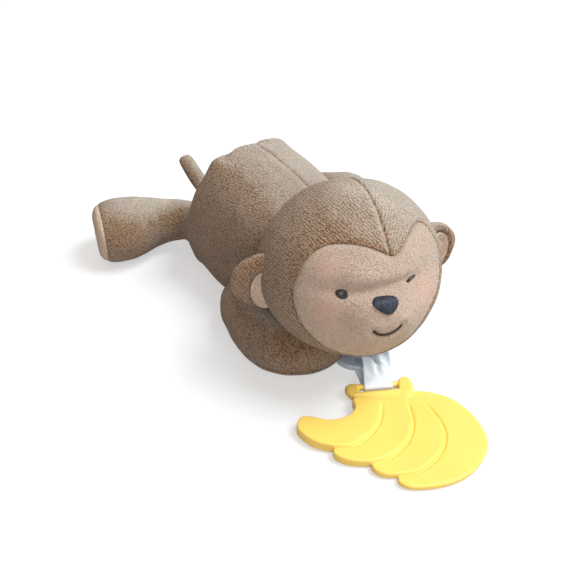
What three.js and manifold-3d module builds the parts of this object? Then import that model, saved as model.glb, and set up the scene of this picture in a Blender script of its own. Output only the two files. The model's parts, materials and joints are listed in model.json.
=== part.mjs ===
// A musical plush monkey that lies on its belly. The stuffed torso holds a pull-cord musical movement, and a
// banana-shaped teether on a satin ribbon draws the cord out between the paws.
// Millimetres, +Z up. The monkey faces -Y, and the origin is on the floor under the torso.

import * as THREE from "three";
import { mergeVertices } from "three/addons/utils/BufferGeometryUtils.js";
import Module from "manifold-3d";

const wasm = await Module();
wasm.setup();

const X = new THREE.Vector3(1, 0, 0);
const Y = new THREE.Vector3(0, 1, 0);
const Z = new THREE.Vector3(0, 0, 1);
const point = (x, y, z) => new THREE.Vector3(x, y, z);
const radians = THREE.MathUtils.degToRad;
const mix = THREE.MathUtils.lerp;

// Clearances and walls that many pieces share
const GAP = 0.3;
const TURN_GAP = 0.5; // clearance where one faceted round form turns in another
const FABRIC = 1.6;
const FLOOR_PRESS = 1.2; // how deep a stuffed limb is pressed flat where it rests
const PIN_PLAY = 0.2; // radial play of a pin in its hole

// Torso, a stuffed barrel with a flat seat panel at the rear
const TORSO_BACK = 48; // origin to the seat panel
const TORSO_FRONT = 40; // origin to the neck end
const TORSO_SEAT_WIDTH = 68;
const TORSO_SEAT_HEIGHT = 67;
const TORSO_NECK_WIDTH = 52;
const TORSO_NECK_HEIGHT = 44;
const TORSO_SWELL = 9;
const BELLY_PRESS = 5;

// Head, a ball that is round about its upright turning axis, with a muzzle in front
const HEAD_WIDTH = 81;
const HEAD_HEIGHT = 76;
const HEAD_LIFT = 10.5; // floor to the lowest point of the head
const HEAD_TURN = -23;
const HEAD_ROLL = 3;
const HEAD_FORWARD = 10; // neck end of the torso to the head's axis
const HEAD_ASIDE = -10;
const FACE_PITCH = 9;
const MUZZLE_BULGE = 5;
const MUZZLE_SPREAD = 34;
const MUZZLE_DROP = 14;

// Face panel and embroidery, measured across the face
const FACE_HALF_WIDTH = 31;
const FACE_LOBE_TOP = 25.5;
const FACE_PEAK = 20.5;
const FACE_CHIN = 33;
const THREAD = 0.9; // how thick the embroidery is
const EYE_SPACING = 31;
const EYE_RISE = 9;
const EYE_WIDTH = 4.6;
const EYE_HEIGHT = 3.3;
const NOSE_WIDTH = 10.4;
const NOSE_HEIGHT = 7.8;
const NOSE_RISE = 4;
const MOUTH_WIDTH = 13;
const MOUTH_SAG = 3.6;
const MOUTH_DROP = 9.8;
const MOUTH_LINE = 1.6;

// Ears
const EAR_HEIGHT = 27;
const EAR_DEPTH = 22; // root to tip, part of it inside the head's outline
const EAR_REACH = 13; // how far an ear stands out from the head
const EAR_THICKNESS = 8;
const EAR_RISE = -3;
const EAR_BACK = 6; // how far behind the head's axis the ears are sewn
const EAR_FOLD = 24;
const LINING_WIDTH = 15;
const LINING_HEIGHT = 20;
const LINING_DEPTH = 2;

// Limbs. A limb's root is a ball in a seat in the torso, so that it can swing.
const SHOULDER_RADIUS = 13;
const SHOULDER_SPREAD = 33;
const SHOULDER_BACK = 38; // behind the neck end
const SHOULDER_HEIGHT = 15;
const ARM_NECK_RADIUS = 11.5;
const HAND_RADIUS = 13;
const ARM_OUT = 10; // how far the elbow stands out from the shoulder
const ARM_REACH = 46; // how far the paw lies in front of the shoulder
const ARM_CURL = 12; // how far the paw lies inside the shoulder
const HIP_RADIUS = 11;
const HIP_SPREAD = 17;
const HIP_HEIGHT = 16;
const LEG_NECK_RADIUS = 9.2;
const FOOT_RADIUS = 16.5;
const LEG_BACK = 42; // how far the right foot lies behind the hip
const LEG_OUT = 43.5; // how far the right foot lies outside the hip
const LEFT_LEG_SWING = 65; // how much further forward the left leg lies than the right
const SOLE_THICKNESS = 2.2;
const TAIL_ROOT_RADIUS = 4.4;
const TAIL_RADIUS = 3.3;
const TAIL_LENGTH = 52;
const TAIL_HEIGHT = 16;
const TAIL_LIFT = 15; // how much higher the tip is than the root

// Teether, a flat bunch of four bananas under a stem bar with a ribbon slot
const TEETHER_THICKNESS = 4.8;
const TEETHER_STEP = 0.5; // how much lower each banana lies than the one before
const BAR_LENGTH = 29;
const BAR_RADIUS = 1.5; // the round part that the ribbon turns on
const BAR_RISE = 2.7; // floor to the bar's axis
const STEM_THICKNESS = 2.8;
const SLOT_LENGTH = 16;
const SLOT_WIDTH = 2.6;
const STEM_DEPTH = 12;
const STEM_WALL = 1.8; // below the slot
const STEM_NECK = 2.5; // how far the stem draws in below that

// Ribbon and pull cord
const RIBBON_WIDTH = 12.7;
const RIBBON_THICKNESS = 0.8;
const RIBBON_LENGTH = 49; // chest eyelet to the middle of the stem bar
const RIBBON_SEAM = 9; // length over which the two legs of the loop are sewn together
const RIBBON_SEAM_WIDTH = 5; // the ribbon is gathered there
const CORD_DIAMETER = 2;
const PULL_TURN = -33;
const EYELET_RADIUS = 3.8;
const EYELET_LENGTH = 6;
const EYELET_HEIGHT = 5.2;
const EYELET_ASIDE = 10;
const EYELET_INSET = 3.5; // neck end of the torso to the middle of the eyelet

// Musical movement. Its axles lie across the torso.
const MODULE = 0.7;
const ADDENDUM = 0.8; // in modules
const DEDENDUM = 1.15; // in modules
const BACKLASH = 0.45;
const DRUM_TEETH = 24;
const CYLINDER_PINION_TEETH = 8;
const CYLINDER_WHEEL_TEETH = 18;
const GOVERNOR_TEETH = 8;
const GOVERNOR_FALL = 40; // degrees that the governor lies below the cylinder
const GEAR_FACE = 2.4;
const GROOVE_WIDTH = 5;
const GROOVE_DEPTH = 2.6;
const FLANGE = 1.2;
const BARREL_LENGTH = 9;
const BARREL_WALL = 1.1;
const SPRING_TURNS = 3;
const SPRING_STRIP = 0.4;
const DRUM_PIN_RADIUS = 1.5;
const ARBOR_RADIUS = 1;
const CYLINDER_RADIUS = 3.6;
const CYLINDER_LENGTH = 17;
const CYLINDER_PIN = 0.45;
const FAN_RADIUS = 4;
const FAN_LENGTH = 14;
const FAN_BLADE = 0.8;
const COMB_TEETH = 11;
const COMB_THICKNESS = 0.8;
const COMB_BLOCK_DEPTH = 4;
const PLATE_THICKNESS = 1.5;
const CASE_WALL = 1.6;
const SCREW_RADIUS = 0.9;
const SCREW_HEAD_RADIUS = 1.7;
const SCREW_HEAD = 0.9;
const MUSIC_LIFT = 7; // floor to the underside of the case
const MUSIC_BACK = 15.5; // origin to the middle of the case

const material = (color, roughness, metalness = 0) =>
  new THREE.MeshStandardMaterial({ color, roughness, metalness });
const plush = material(0x8c705c, 0.95);
const facePlush = material(0xd0b09c, 0.95);
const thread = material(0x34343a, 0.7);
const fibre = material(0xf2f0ea, 1);
const satin = material(0xeef2f8, 0.45);
const yellowPlastic = material(0xfbe56a, 0.45);
const whitePlastic = material(0xe8e6e0, 0.5);
const steel = material(0x9a9da1, 0.35, 0.9);
const brass = material(0xc8a24a, 0.35, 0.9);
const cordage = material(0xe9e6df, 0.8);

// Solid modelling helpers

// A closed geometry as a solid for cutting and joining.
function solid(geometry) {
  const bare = new THREE.BufferGeometry().setAttribute("position", geometry.getAttribute("position").clone());
  if (geometry.index) bare.setIndex(geometry.index.clone());
  const merged = mergeVertices(bare, 1e-4);
  const corners = merged.index.array;
  const kept = [];
  for (let i = 0; i < corners.length; i += 3) {
    const [a, b, c] = corners.slice(i, i + 3);
    if (a !== b && b !== c && c !== a) kept.push(a, b, c);
  }
  return new wasm.Manifold(
    new wasm.Mesh({
      numProp: 3,
      vertProperties: Float32Array.from(merged.getAttribute("position").array),
      triVerts: Uint32Array.from(kept),
    }),
  );
}

// A solid back as a geometry.
function geometryOf(shape) {
  const mesh = shape.getMesh();
  return new THREE.BufferGeometry()
    .setAttribute("position", new THREE.BufferAttribute(mesh.vertProperties, 3))
    .setIndex(new THREE.BufferAttribute(mesh.triVerts, 1));
}

function place(parent, name, shape, look) {
  const geometry = shape.isBufferGeometry ? shape : geometryOf(shape);
  geometry.computeVertexNormals();
  const mesh = new THREE.Mesh(geometry, look);
  mesh.name = name;
  parent.add(mesh);
}

function box(low, high) {
  const size = high.clone().sub(low);
  const middle = high.clone().add(low).multiplyScalar(0.5);
  return new THREE.BoxGeometry(size.x, size.y, size.z).translate(middle.x, middle.y, middle.z);
}

const outline = (corners) => new THREE.Shape(corners.map(([x, y]) => new THREE.Vector2(x, y)));

const prism = (shape, depth, curveSegments = 6) =>
  new THREE.ExtrudeGeometry(shape, { depth, bevelEnabled: false, curveSegments });

// A flat outline extruded along +X, with the outline's x along Y and its y along Z.
function extrudeAcross(shape, from, to) {
  return prism(shape, to - from).applyMatrix4(new THREE.Matrix4().makeBasis(Y, Z, X)).translate(from, 0, 0);
}

// A profile of (radius, place along the axis) turned about the X axis.
function turnedAcross(profile, facets) {
  const points = profile.map(([radius, along]) => new THREE.Vector2(radius, along));
  return new THREE.LatheGeometry(points, facets).applyMatrix4(new THREE.Matrix4().makeBasis(Z, X, Y));
}

const rod = (radius, from, to) => turnedAcross([[0, from], [radius, from], [radius, to], [0, to]], 12);
const ring = (inner, outer, from, to) =>
  turnedAcross([[inner, from], [outer, from], [outer, to], [inner, to], [inner, from]], 16);

// A round tube along a curve.
function tubeAlong(curve, radius, facets, steps) {
  const section = new THREE.Shape();
  for (let i = 0; i < facets; i++) {
    const turn = (2 * Math.PI * i) / facets;
    const corner = [radius * Math.cos(turn), radius * Math.sin(turn)];
    if (i) section.lineTo(...corner);
    else section.moveTo(...corner);
  }
  return new THREE.ExtrudeGeometry(section, { extrudePath: curve, steps, bevelEnabled: false });
}

// A stuffed form: rounded sections along a spine, closed at both ends. wide and tall give a section's half
// sizes at a share of the spine, and the blunt powers square off the two ends.
function stuffed({ spine, wide, tall, rings, around, power = 2, startBlunt = 2, endBlunt = 2 }) {
  const positions = [];
  const push = (p) => positions.push(p.x, p.y, p.z);
  const rounded = (value) => Math.sign(value) * Math.abs(value) ** (2 / power);
  push(spine.getPointAt(0));
  for (let i = 1; i < rings; i++) {
    const q = Math.cos((Math.PI * i) / rings);
    const blunt = q > 0 ? startBlunt : endBlunt;
    const share = (1 - q) / 2;
    const swell = (1 - Math.abs(q) ** blunt) ** (1 / blunt);
    const middle = spine.getPointAt(share);
    const along = spine.getTangentAt(share);
    const side = along.clone().cross(Z).normalize();
    const up = side.clone().cross(along);
    for (let j = 0; j < around; j++) {
      const turn = (2 * Math.PI * j) / around;
      const corner = middle.clone();
      corner.addScaledVector(side, rounded(Math.cos(turn)) * wide(share) * swell);
      corner.addScaledVector(up, rounded(Math.sin(turn)) * tall(share) * swell);
      push(corner);
    }
  }
  push(spine.getPointAt(1));
  const index = [];
  const at = (row, j) => 1 + (row - 1) * around + (j % around);
  const last = 1 + (rings - 1) * around;
  for (let j = 0; j < around; j++) {
    index.push(0, at(1, j), at(1, j + 1), last, at(rings - 1, j + 1), at(rings - 1, j));
    for (let row = 1; row < rings - 1; row++) {
      const [a, b, c, d] = [at(row, j), at(row, j + 1), at(row + 1, j), at(row + 1, j + 1)];
      index.push(a, c, b, b, c, d);
    }
  }
  return new THREE.BufferGeometry()
    .setAttribute("position", new THREE.Float32BufferAttribute(positions, 3))
    .setIndex(index);
}

const FAR = 400;
const onFloor = (shape, level = 0) =>
  shape.subtract(solid(box(point(-FAR, -FAR, -FAR), point(FAR, FAR, level))));
const ball = (centre, radius) =>
  solid(new THREE.SphereGeometry(radius, 16, 6).rotateX(Math.PI / 2).translate(...centre.toArray()));
const heading = (turn) => point(Math.sin(radians(turn)), -Math.cos(radians(turn)), 0);

// Places that the pieces share
const hands = [
  { name: "right", hand: -1 },
  { name: "left", hand: 1 },
];
const headCentre = point(HEAD_ASIDE, -TORSO_FRONT - HEAD_FORWARD, HEAD_LIFT + HEAD_HEIGHT / 2);
const shoulder = (hand) => point(hand * SHOULDER_SPREAD, SHOULDER_BACK - TORSO_FRONT, SHOULDER_HEIGHT);
const hip = (hand) => point(hand * HIP_SPREAD, TORSO_BACK, HIP_HEIGHT);
const tailRoot = point(0, TORSO_BACK, TAIL_HEIGHT);
const eyelet = point(EYELET_ASIDE, EYELET_INSET - TORSO_FRONT, EYELET_HEIGHT);
const pullAxis = heading(PULL_TURN);

// Head, in its own frame: the face looks along -Y before it is pitched and rolled

const faceOut = point(0, -Math.cos(radians(FACE_PITCH)), Math.sin(radians(FACE_PITCH)));
const faceUp = point(0, Math.sin(radians(FACE_PITCH)), Math.cos(radians(FACE_PITCH)));
faceUp.applyAxisAngle(faceOut, -radians(HEAD_ROLL));
const faceSide = faceUp.clone().cross(faceOut);
const muzzleOut = faceOut.clone().applyAxisAngle(faceSide, radians(MUZZLE_DROP));

function muzzleSwell(out) {
  const away = THREE.MathUtils.radToDeg(out.angleTo(muzzleOut)) / MUZZLE_SPREAD;
  return MUZZLE_BULGE * Math.exp(-away * away);
}

const HEAD_FACETS = 24;
const HEAD_ROWS = 14;
const HIDDEN_HEAD = { facets: 16, rows: 10 };
const HIDDEN_TORSO = { rings: 9, around: 12 };

function headForm(grow, { muzzle = true, facets = HEAD_FACETS, rows = HEAD_ROWS } = {}) {
  const geometry = new THREE.SphereGeometry(1, facets, rows).rotateX(Math.PI / 2);
  const places = geometry.getAttribute("position");
  for (let i = 0; i < places.count; i++) {
    const out = point(0, 0, 0).fromBufferAttribute(places, i);
    const corner = point(out.x * HEAD_WIDTH, out.y * HEAD_WIDTH, out.z * HEAD_HEIGHT).multiplyScalar(0.5);
    corner.addScaledVector(out, grow);
    if (muzzle) corner.addScaledVector(muzzleOut, muzzleSwell(out));
    places.setXYZ(i, ...corner.toArray());
  }
  return geometry;
}

// The space round the head that its muzzle sweeps as the head turns.
function headSweep(grow) {
  const profile = [];
  for (let i = 0; i <= HEAD_ROWS; i++) {
    const rise = Math.PI * (i / HEAD_ROWS - 0.5);
    const out = muzzleOut.clone().setZ(0).setLength(Math.cos(rise)).setZ(Math.sin(rise));
    const reach = (HEAD_WIDTH / 2 + grow) * Math.cos(rise) + muzzleSwell(out);
    const height = (HEAD_HEIGHT / 2 + grow) * Math.sin(rise);
    profile.push(new THREE.Vector2(i % HEAD_ROWS ? reach : 0, height));
  }
  const swept = new THREE.LatheGeometry(profile, HEAD_FACETS).rotateX(Math.PI / 2);
  return solid(swept.translate(...headCentre.toArray()));
}

// A face outline as a prism that runs out of the head through the face.
function faceCutter(shape) {
  const cutter = prism(shape, HEAD_WIDTH, 5);
  return solid(cutter.applyMatrix4(new THREE.Matrix4().makeBasis(faceSide, faceUp, faceOut)));
}

// Two lobes over the eyes that meet in a peak, and a round chin.
function facePanelShape(grow) {
  const half = FACE_HALF_WIDTH + grow;
  const top = FACE_LOBE_TOP + grow;
  const peak = FACE_PEAK + grow;
  const chin = FACE_CHIN + grow;
  const shape = new THREE.Shape();
  shape.moveTo(0, peak);
  shape.bezierCurveTo(-half * 0.2, peak, -half * 0.3, top, -half * 0.58, top);
  shape.bezierCurveTo(-half * 0.88, top, -half, top * 0.45, -half, 0);
  shape.bezierCurveTo(-half, -chin * 0.6, -half * 0.6, -chin, 0, -chin);
  shape.bezierCurveTo(half * 0.6, -chin, half, -chin * 0.6, half, 0);
  shape.bezierCurveTo(half, top * 0.45, half * 0.88, top, half * 0.58, top);
  shape.bezierCurveTo(half * 0.3, top, half * 0.2, peak, 0, peak);
  return shape;
}

function ovalShape(x, y, width, height) {
  const shape = new THREE.Shape();
  shape.absellipse(x, y, width / 2, height / 2, 0, 2 * Math.PI, false);
  return shape;
}

// A wide rounded triangle that points down.
function noseShape() {
  const half = NOSE_WIDTH / 2;
  const top = NOSE_RISE + NOSE_HEIGHT / 2;
  const tip = NOSE_RISE - NOSE_HEIGHT / 2;
  const shoulderLow = mix(top, tip, 0.36);
  const cheek = mix(top, tip, 0.7);
  const shape = new THREE.Shape();
  shape.moveTo(0, top);
  shape.bezierCurveTo(-half * 0.7, top, -half, mix(top, tip, 0.1), -half, shoulderLow);
  shape.bezierCurveTo(-half, cheek, -half * 0.4, tip, 0, tip);
  shape.bezierCurveTo(half * 0.4, tip, half, cheek, half, shoulderLow);
  shape.bezierCurveTo(half, mix(top, tip, 0.1), half * 0.7, top, 0, top);
  return shape;
}

// The smile is a thick arc through the mouth corners and the middle of the lip.
function mouthShape() {
  const half = MOUTH_WIDTH / 2;
  const radius = (half * half + MOUTH_SAG * MOUTH_SAG) / (2 * MOUTH_SAG);
  const centre = radius - MOUTH_DROP;
  const swing = Math.asin(half / radius);
  const down = -Math.PI / 2;
  const shape = new THREE.Shape();
  shape.absarc(0, centre, radius + MOUTH_LINE / 2, down - swing, down + swing, false);
  shape.absarc(0, centre, radius - MOUTH_LINE / 2, down + swing, down - swing, true);
  shape.closePath();
  return shape;
}

function buildHead() {
  const group = new THREE.Group();
  group.position.copy(headCentre);
  group.rotation.z = radians(HEAD_TURN);
  const skin = solid(headForm(0));
  const shell = skin.subtract(solid(headForm(-FABRIC, HIDDEN_HEAD)));
  place(group, "head_cover", shell.subtract(faceCutter(facePanelShape(GAP))), plush);
  place(group, "face_panel", shell.intersect(faceCutter(facePanelShape(0))), facePlush);
  place(group, "head_stuffing", headForm(-FABRIC - GAP, HIDDEN_HEAD), fibre);

  const embroidery = solid(headForm(GAP + THREAD)).subtract(solid(headForm(GAP)));
  const stitched = (name, shape) => place(group, name, embroidery.intersect(faceCutter(shape)), thread);
  for (const { name, hand } of hands) {
    stitched(`${name}_eye`, ovalShape((hand * EYE_SPACING) / 2, EYE_RISE, EYE_WIDTH, EYE_HEIGHT));
  }
  stitched("nose", noseShape());
  stitched("mouth", mouthShape());

  const seat = solid(headForm(GAP));
  for (const { name, hand } of hands) buildEar(group, name, hand, seat);
  return group;
}

// An ear is a thick oval flap with a lining let into its front.
function buildEar(group, name, hand, seat) {
  const middle = HEAD_WIDTH / 2 + EAR_REACH - EAR_DEPTH / 2;
  const onHead = (geometry) => {
    geometry.rotateZ(hand * radians(EAR_FOLD));
    geometry.translate(hand * middle, EAR_BACK, EAR_RISE);
    return solid(geometry.rotateY(radians(HEAD_ROLL)));
  };
  const flap = new THREE.SphereGeometry(0.5, 14, 8).scale(EAR_DEPTH, EAR_THICKNESS, EAR_HEIGHT);
  const recess = (grow) => {
    const shape = ovalShape(0, 0, LINING_WIDTH + 2 * grow, LINING_HEIGHT + 2 * grow);
    const cutter = prism(shape, EAR_THICKNESS, 5).rotateX(Math.PI / 2);
    return cutter.translate(0, LINING_DEPTH + grow - EAR_THICKNESS / 2, 0);
  };
  const ear = onHead(flap).subtract(seat);
  place(group, `${name}_ear`, ear.subtract(onHead(recess(GAP))), plush);
  place(group, `${name}_ear_lining`, ear.intersect(onHead(recess(0))), facePlush);
}

// Torso

function torsoForm(grow, { rings = 12, around = 18 } = {}) {
  const middle = (height) => (height - BELLY_PRESS) / 2;
  const spine = new THREE.LineCurve3(
    point(0, TORSO_BACK + grow, middle(TORSO_SEAT_HEIGHT)),
    point(0, -TORSO_FRONT - grow, middle(TORSO_NECK_HEIGHT)),
  );
  const swell = (share) => TORSO_SWELL * 4 * share * (1 - share);
  const width = (share) => mix(TORSO_SEAT_WIDTH, TORSO_NECK_WIDTH, share) + swell(share);
  const height = (share) => mix(TORSO_SEAT_HEIGHT, TORSO_NECK_HEIGHT, share) + swell(share) / 2;
  const form = stuffed({
    spine,
    wide: (share) => width(share) / 2 + grow,
    tall: (share) => (height(share) + BELLY_PRESS) / 2 + grow,
    rings,
    around,
    power: 2.6,
    startBlunt: 16,
    endBlunt: 4,
  });
  return onFloor(solid(form), -grow);
}

// Limbs

function armSpine(hand) {
  const root = shoulder(hand);
  const rest = HAND_RADIUS - FLOOR_PRESS;
  return new THREE.CatmullRomCurve3([
    point(root.x, root.y + SHOULDER_RADIUS * 0.6, root.z),
    point(root.x + hand * ARM_OUT * 0.75, root.y - ARM_REACH * 0.22, mix(root.z, rest, 0.6)),
    point(root.x + hand * ARM_OUT, root.y - ARM_REACH * 0.55, rest),
    point(root.x + hand * ARM_OUT * 0.45, root.y - ARM_REACH * 0.88, rest),
    point(root.x - hand * ARM_CURL, root.y - ARM_REACH, rest),
  ]);
}

function buildArm(name, hand, torsoSeat, headSpace) {
  const thick = (share) => mix(ARM_NECK_RADIUS, HAND_RADIUS, THREE.MathUtils.smoothstep(share, 0.2, 0.8));
  const spine = armSpine(hand);
  const detail = { rings: 12, around: 12 };
  const form = stuffed({ spine, wide: thick, tall: thick, ...detail, startBlunt: 3, endBlunt: 4 });
  const arm = solid(form).subtract(torsoSeat).add(ball(shoulder(hand), SHOULDER_RADIUS));
  place(monkey, `${name}_arm`, onFloor(arm).subtract(headSpace), plush);
}

function legSpine(hand) {
  const root = hip(hand);
  const neckRest = LEG_NECK_RADIUS - FLOOR_PRESS;
  const footRest = FOOT_RADIUS - FLOOR_PRESS;
  const swing = hand > 0 ? -radians(LEFT_LEG_SWING) : 0;
  const along = (out, back, z) => point(hand * out, back, z - root.z).applyAxisAngle(Z, swing).add(root);
  return new THREE.CatmullRomCurve3([
    along(0, -HIP_RADIUS * 0.8, root.z),
    along(LEG_OUT * 0.02, LEG_BACK * 0.42, mix(root.z, neckRest, 0.6)),
    along(LEG_OUT * 0.4, LEG_BACK * 0.82, mix(neckRest, footRest, 0.7)),
    along(LEG_OUT, LEG_BACK, footRest),
  ]);
}

function buildLeg(name, hand, torsoSeat) {
  const spine = legSpine(hand);
  const thick = (share) => mix(LEG_NECK_RADIUS, FOOT_RADIUS, THREE.MathUtils.smoothstep(share, 0.3, 0.85));
  const detail = { rings: 12, around: 14 };
  const form = stuffed({ spine, wide: thick, tall: thick, ...detail, startBlunt: 3, endBlunt: 6 });
  const leg = onFloor(solid(form).subtract(torsoSeat).add(ball(hip(hand), HIP_RADIUS)));
  const beyond = (inset) => {
    const out = spine.getTangentAt(1);
    const face = spine.getPointAt(1).addScaledVector(out, -inset);
    const slab = box(point(0, -FAR, -FAR), point(FAR, FAR, FAR)).rotateZ(Math.atan2(out.y, out.x));
    return solid(slab.translate(...face.toArray()));
  };
  place(monkey, `${name}_leg`, leg.subtract(beyond(SOLE_THICKNESS + GAP)), plush);
  place(monkey, `${name}_sole`, leg.intersect(beyond(SOLE_THICKNESS)), facePlush);
}

function buildTail(torsoSeat) {
  const rise = (share) => tailRoot.z + TAIL_LIFT * share * share;
  const spine = new THREE.CatmullRomCurve3(
    [-0.06, 0.3, 0.65, 1].map((share) => point(0, tailRoot.y + TAIL_LENGTH * share, rise(share))),
  );
  const thick = () => TAIL_RADIUS;
  const form = stuffed({ spine, wide: thick, tall: thick, rings: 9, around: 8, startBlunt: 8, endBlunt: 8 });
  place(monkey, "tail", solid(form).subtract(torsoSeat).add(ball(tailRoot, TAIL_ROOT_RADIUS)), plush);
}

// Musical movement, in its own frame: X runs from the left plate's inner face along the drum's axle

const drumPitch = (MODULE * DRUM_TEETH) / 2;
const drumTip = drumPitch + ADDENDUM * MODULE;
const firstMesh = (MODULE * (DRUM_TEETH + CYLINDER_PINION_TEETH)) / 2;
const secondMesh = (MODULE * (CYLINDER_WHEEL_TEETH + GOVERNOR_TEETH)) / 2;
const pinReach = CYLINDER_RADIUS + CYLINDER_PIN;
const barrelRadius = firstMesh - pinReach - 2 * GAP;
const grooveRadius = drumPitch - GROOVE_DEPTH;
const windingRadius = drumPitch - 2 * GAP;
const cordDrop = windingRadius + GAP + CORD_DIAMETER / 2;

const drumStart = 2 * GAP;
const grooveStart = drumStart + FLANGE;
const wheelStart = grooveStart + GROOVE_WIDTH + FLANGE;
const barrelStart = wheelStart + GEAR_FACE;
const barrelEnd = barrelStart + BARREL_LENGTH;
const cylinderStart = barrelStart + 2 * GAP;
const cylinderEnd = cylinderStart + CYLINDER_LENGTH;
const secondStart = cylinderEnd + 2 * GAP;
const secondEnd = secondStart + GEAR_FACE;
const plateSpan = Math.max(barrelEnd, secondEnd) + 2 * GAP;

const cylinderY = firstMesh;
const governorY = cylinderY + secondMesh * Math.cos(radians(GOVERNOR_FALL));
const governorZ = -secondMesh * Math.sin(radians(GOVERNOR_FALL));
const blockFront = governorY + FAN_RADIUS + 2 * GAP;
const blockBack = blockFront + COMB_BLOCK_DEPTH;
const combBottom = pinReach + GAP;

const roomHalf = Math.max(drumTip, cordDrop + CORD_DIAMETER / 2, FAN_RADIUS - governorZ) + 2 * GAP;
const room = {
  low: point(-PLATE_THICKNESS - GAP, -drumTip - 2 * GAP, -roomHalf),
  high: point(plateSpan + PLATE_THICKNESS + GAP, blockBack + GAP, roomHalf),
};
const caseLow = room.low.clone().subScalar(CASE_WALL);
const caseHigh = room.high.clone().addScalar(CASE_WALL);
const grooveMiddle = grooveStart + GROOVE_WIDTH / 2;

// The movement's own origin in the torso: the case is in the middle, and its underside is at the set height.
// It is turned half round about Y, so its z axis points down and the cord leaves on the eyelet's side.
const musicOrigin = point(
  (caseLow.x + caseHigh.x) / 2,
  MUSIC_BACK - (caseLow.y + caseHigh.y) / 2,
  MUSIC_LIFT + caseHigh.z,
);

// A gear outline with a tooth on its y axis, or a gap there, and a round bore.
function gearShape(teeth, bore, gapFirst) {
  const pitch = (MODULE * teeth) / 2;
  const tip = pitch + ADDENDUM * MODULE;
  const root = pitch - DEDENDUM * MODULE;
  const slope = Math.tan(radians(20));
  const half = (Math.PI * MODULE) / 4 - BACKLASH / 4;
  const tipHalf = (half - ADDENDUM * MODULE * slope) / tip;
  const rootHalf = Math.min((half + DEDENDUM * MODULE * slope) / root, (Math.PI / teeth) * 0.9);
  const shape = new THREE.Shape();
  for (let i = 0; i < teeth; i++) {
    const middle = Math.PI / 2 + ((i + (gapFirst ? 0.5 : 0)) * 2 * Math.PI) / teeth;
    for (const [radius, turn] of [[root, -rootHalf], [tip, -tipHalf], [tip, tipHalf], [root, rootHalf]]) {
      const corner = [radius * Math.cos(middle + turn), radius * Math.sin(middle + turn)];
      if (shape.curves.length || i || turn !== -rootHalf) shape.lineTo(...corner);
      else shape.moveTo(...corner);
    }
  }
  shape.closePath();
  shape.holes.push(new THREE.Path().absarc(0, 0, bore, 0, 2 * Math.PI, true));
  return shape;
}

// A gear on an axle along X, turned so that its first tooth or gap lies at the given angle from Y towards Z.
function gear(teeth, bore, from, facing, gapFirst) {
  const shape = gearShape(teeth, bore, gapFirst);
  return extrudeAcross(shape, from, from + GEAR_FACE).rotateX(radians(facing) - Math.PI / 2);
}

function buildDrum(group) {
  const bore = DRUM_PIN_RADIUS + PIN_PLAY;
  const cavity = barrelStart + BARREL_WALL;
  const profile = [
    [bore, drumStart], [drumPitch, drumStart], [drumPitch, grooveStart], [grooveRadius, grooveStart],
    [grooveRadius, wheelStart - FLANGE], [barrelRadius, wheelStart - FLANGE], [barrelRadius, barrelEnd],
    [barrelRadius - BARREL_WALL, barrelEnd], [barrelRadius - BARREL_WALL, cavity], [bore, cavity],
    [bore, drumStart],
  ];
  const wheel = solid(gear(DRUM_TEETH, grooveRadius - BARREL_WALL, wheelStart, 0, false));
  const flange = solid(ring(grooveRadius - BARREL_WALL, drumPitch, wheelStart - FLANGE, wheelStart));
  place(group, "cord_drum", solid(turnedAcross(profile, 20)).add(wheel).add(flange), whitePlastic);
  const winding = ring(grooveRadius + GAP, windingRadius, grooveStart + GAP, wheelStart - FLANGE - GAP);
  place(group, "cord_winding", winding, cordage);
  place(group, "drum_pin", rod(DRUM_PIN_RADIUS, -PLATE_THICKNESS, plateSpan + PLATE_THICKNESS), steel);

  const inner = DRUM_PIN_RADIUS + 2 * GAP;
  const outer = barrelRadius - BARREL_WALL - GAP - SPRING_STRIP;
  const steps = SPRING_TURNS * 14;
  const coil = (i, depth) => {
    const turn = (2 * Math.PI * SPRING_TURNS * i) / steps;
    const radius = mix(inner, outer, i / steps) + depth;
    return new THREE.Vector2(radius * Math.cos(turn), radius * Math.sin(turn));
  };
  const rows = Array.from({ length: steps + 1 }, (_, i) => i);
  const strip = [...rows.map((i) => coil(i, SPRING_STRIP)), ...rows.reverse().map((i) => coil(i, 0))];
  place(group, "mainspring", extrudeAcross(new THREE.Shape(strip), cavity + GAP, barrelEnd - GAP), steel);
}

function buildCylinder(group) {
  const axle = new THREE.Group();
  axle.position.y = cylinderY;
  group.add(axle);
  const bore = ARBOR_RADIUS + PIN_PLAY;
  place(axle, "cylinder_arbor", rod(ARBOR_RADIUS, -PLATE_THICKNESS, plateSpan + PLATE_THICKNESS), steel);
  place(axle, "cylinder_pinion", gear(CYLINDER_PINION_TEETH, bore, wheelStart, 180, true), brass);
  place(axle, "cylinder_wheel", gear(CYLINDER_WHEEL_TEETH, bore, secondStart, -GOVERNOR_FALL, false), brass);

  // One pin for each comb tooth, spread round the cylinder so that single notes follow one another.
  let barrel = solid(ring(bore, CYLINDER_RADIUS, cylinderStart, cylinderEnd));
  const pitch = CYLINDER_LENGTH / COMB_TEETH;
  const pinHalf = pitch * 0.15;
  const noteStep = 150;
  for (let i = 0; i < COMB_TEETH; i++) {
    const along = cylinderStart + (i + 0.5) * pitch;
    const pin = box(
      point(along - pinHalf, CYLINDER_RADIUS * 0.7, -pinHalf),
      point(along + pinHalf, pinReach, pinHalf),
    );
    barrel = barrel.add(solid(pin.rotateX(radians(30 + noteStep * i))));
  }
  place(axle, "music_cylinder", barrel, brass);
}

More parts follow.
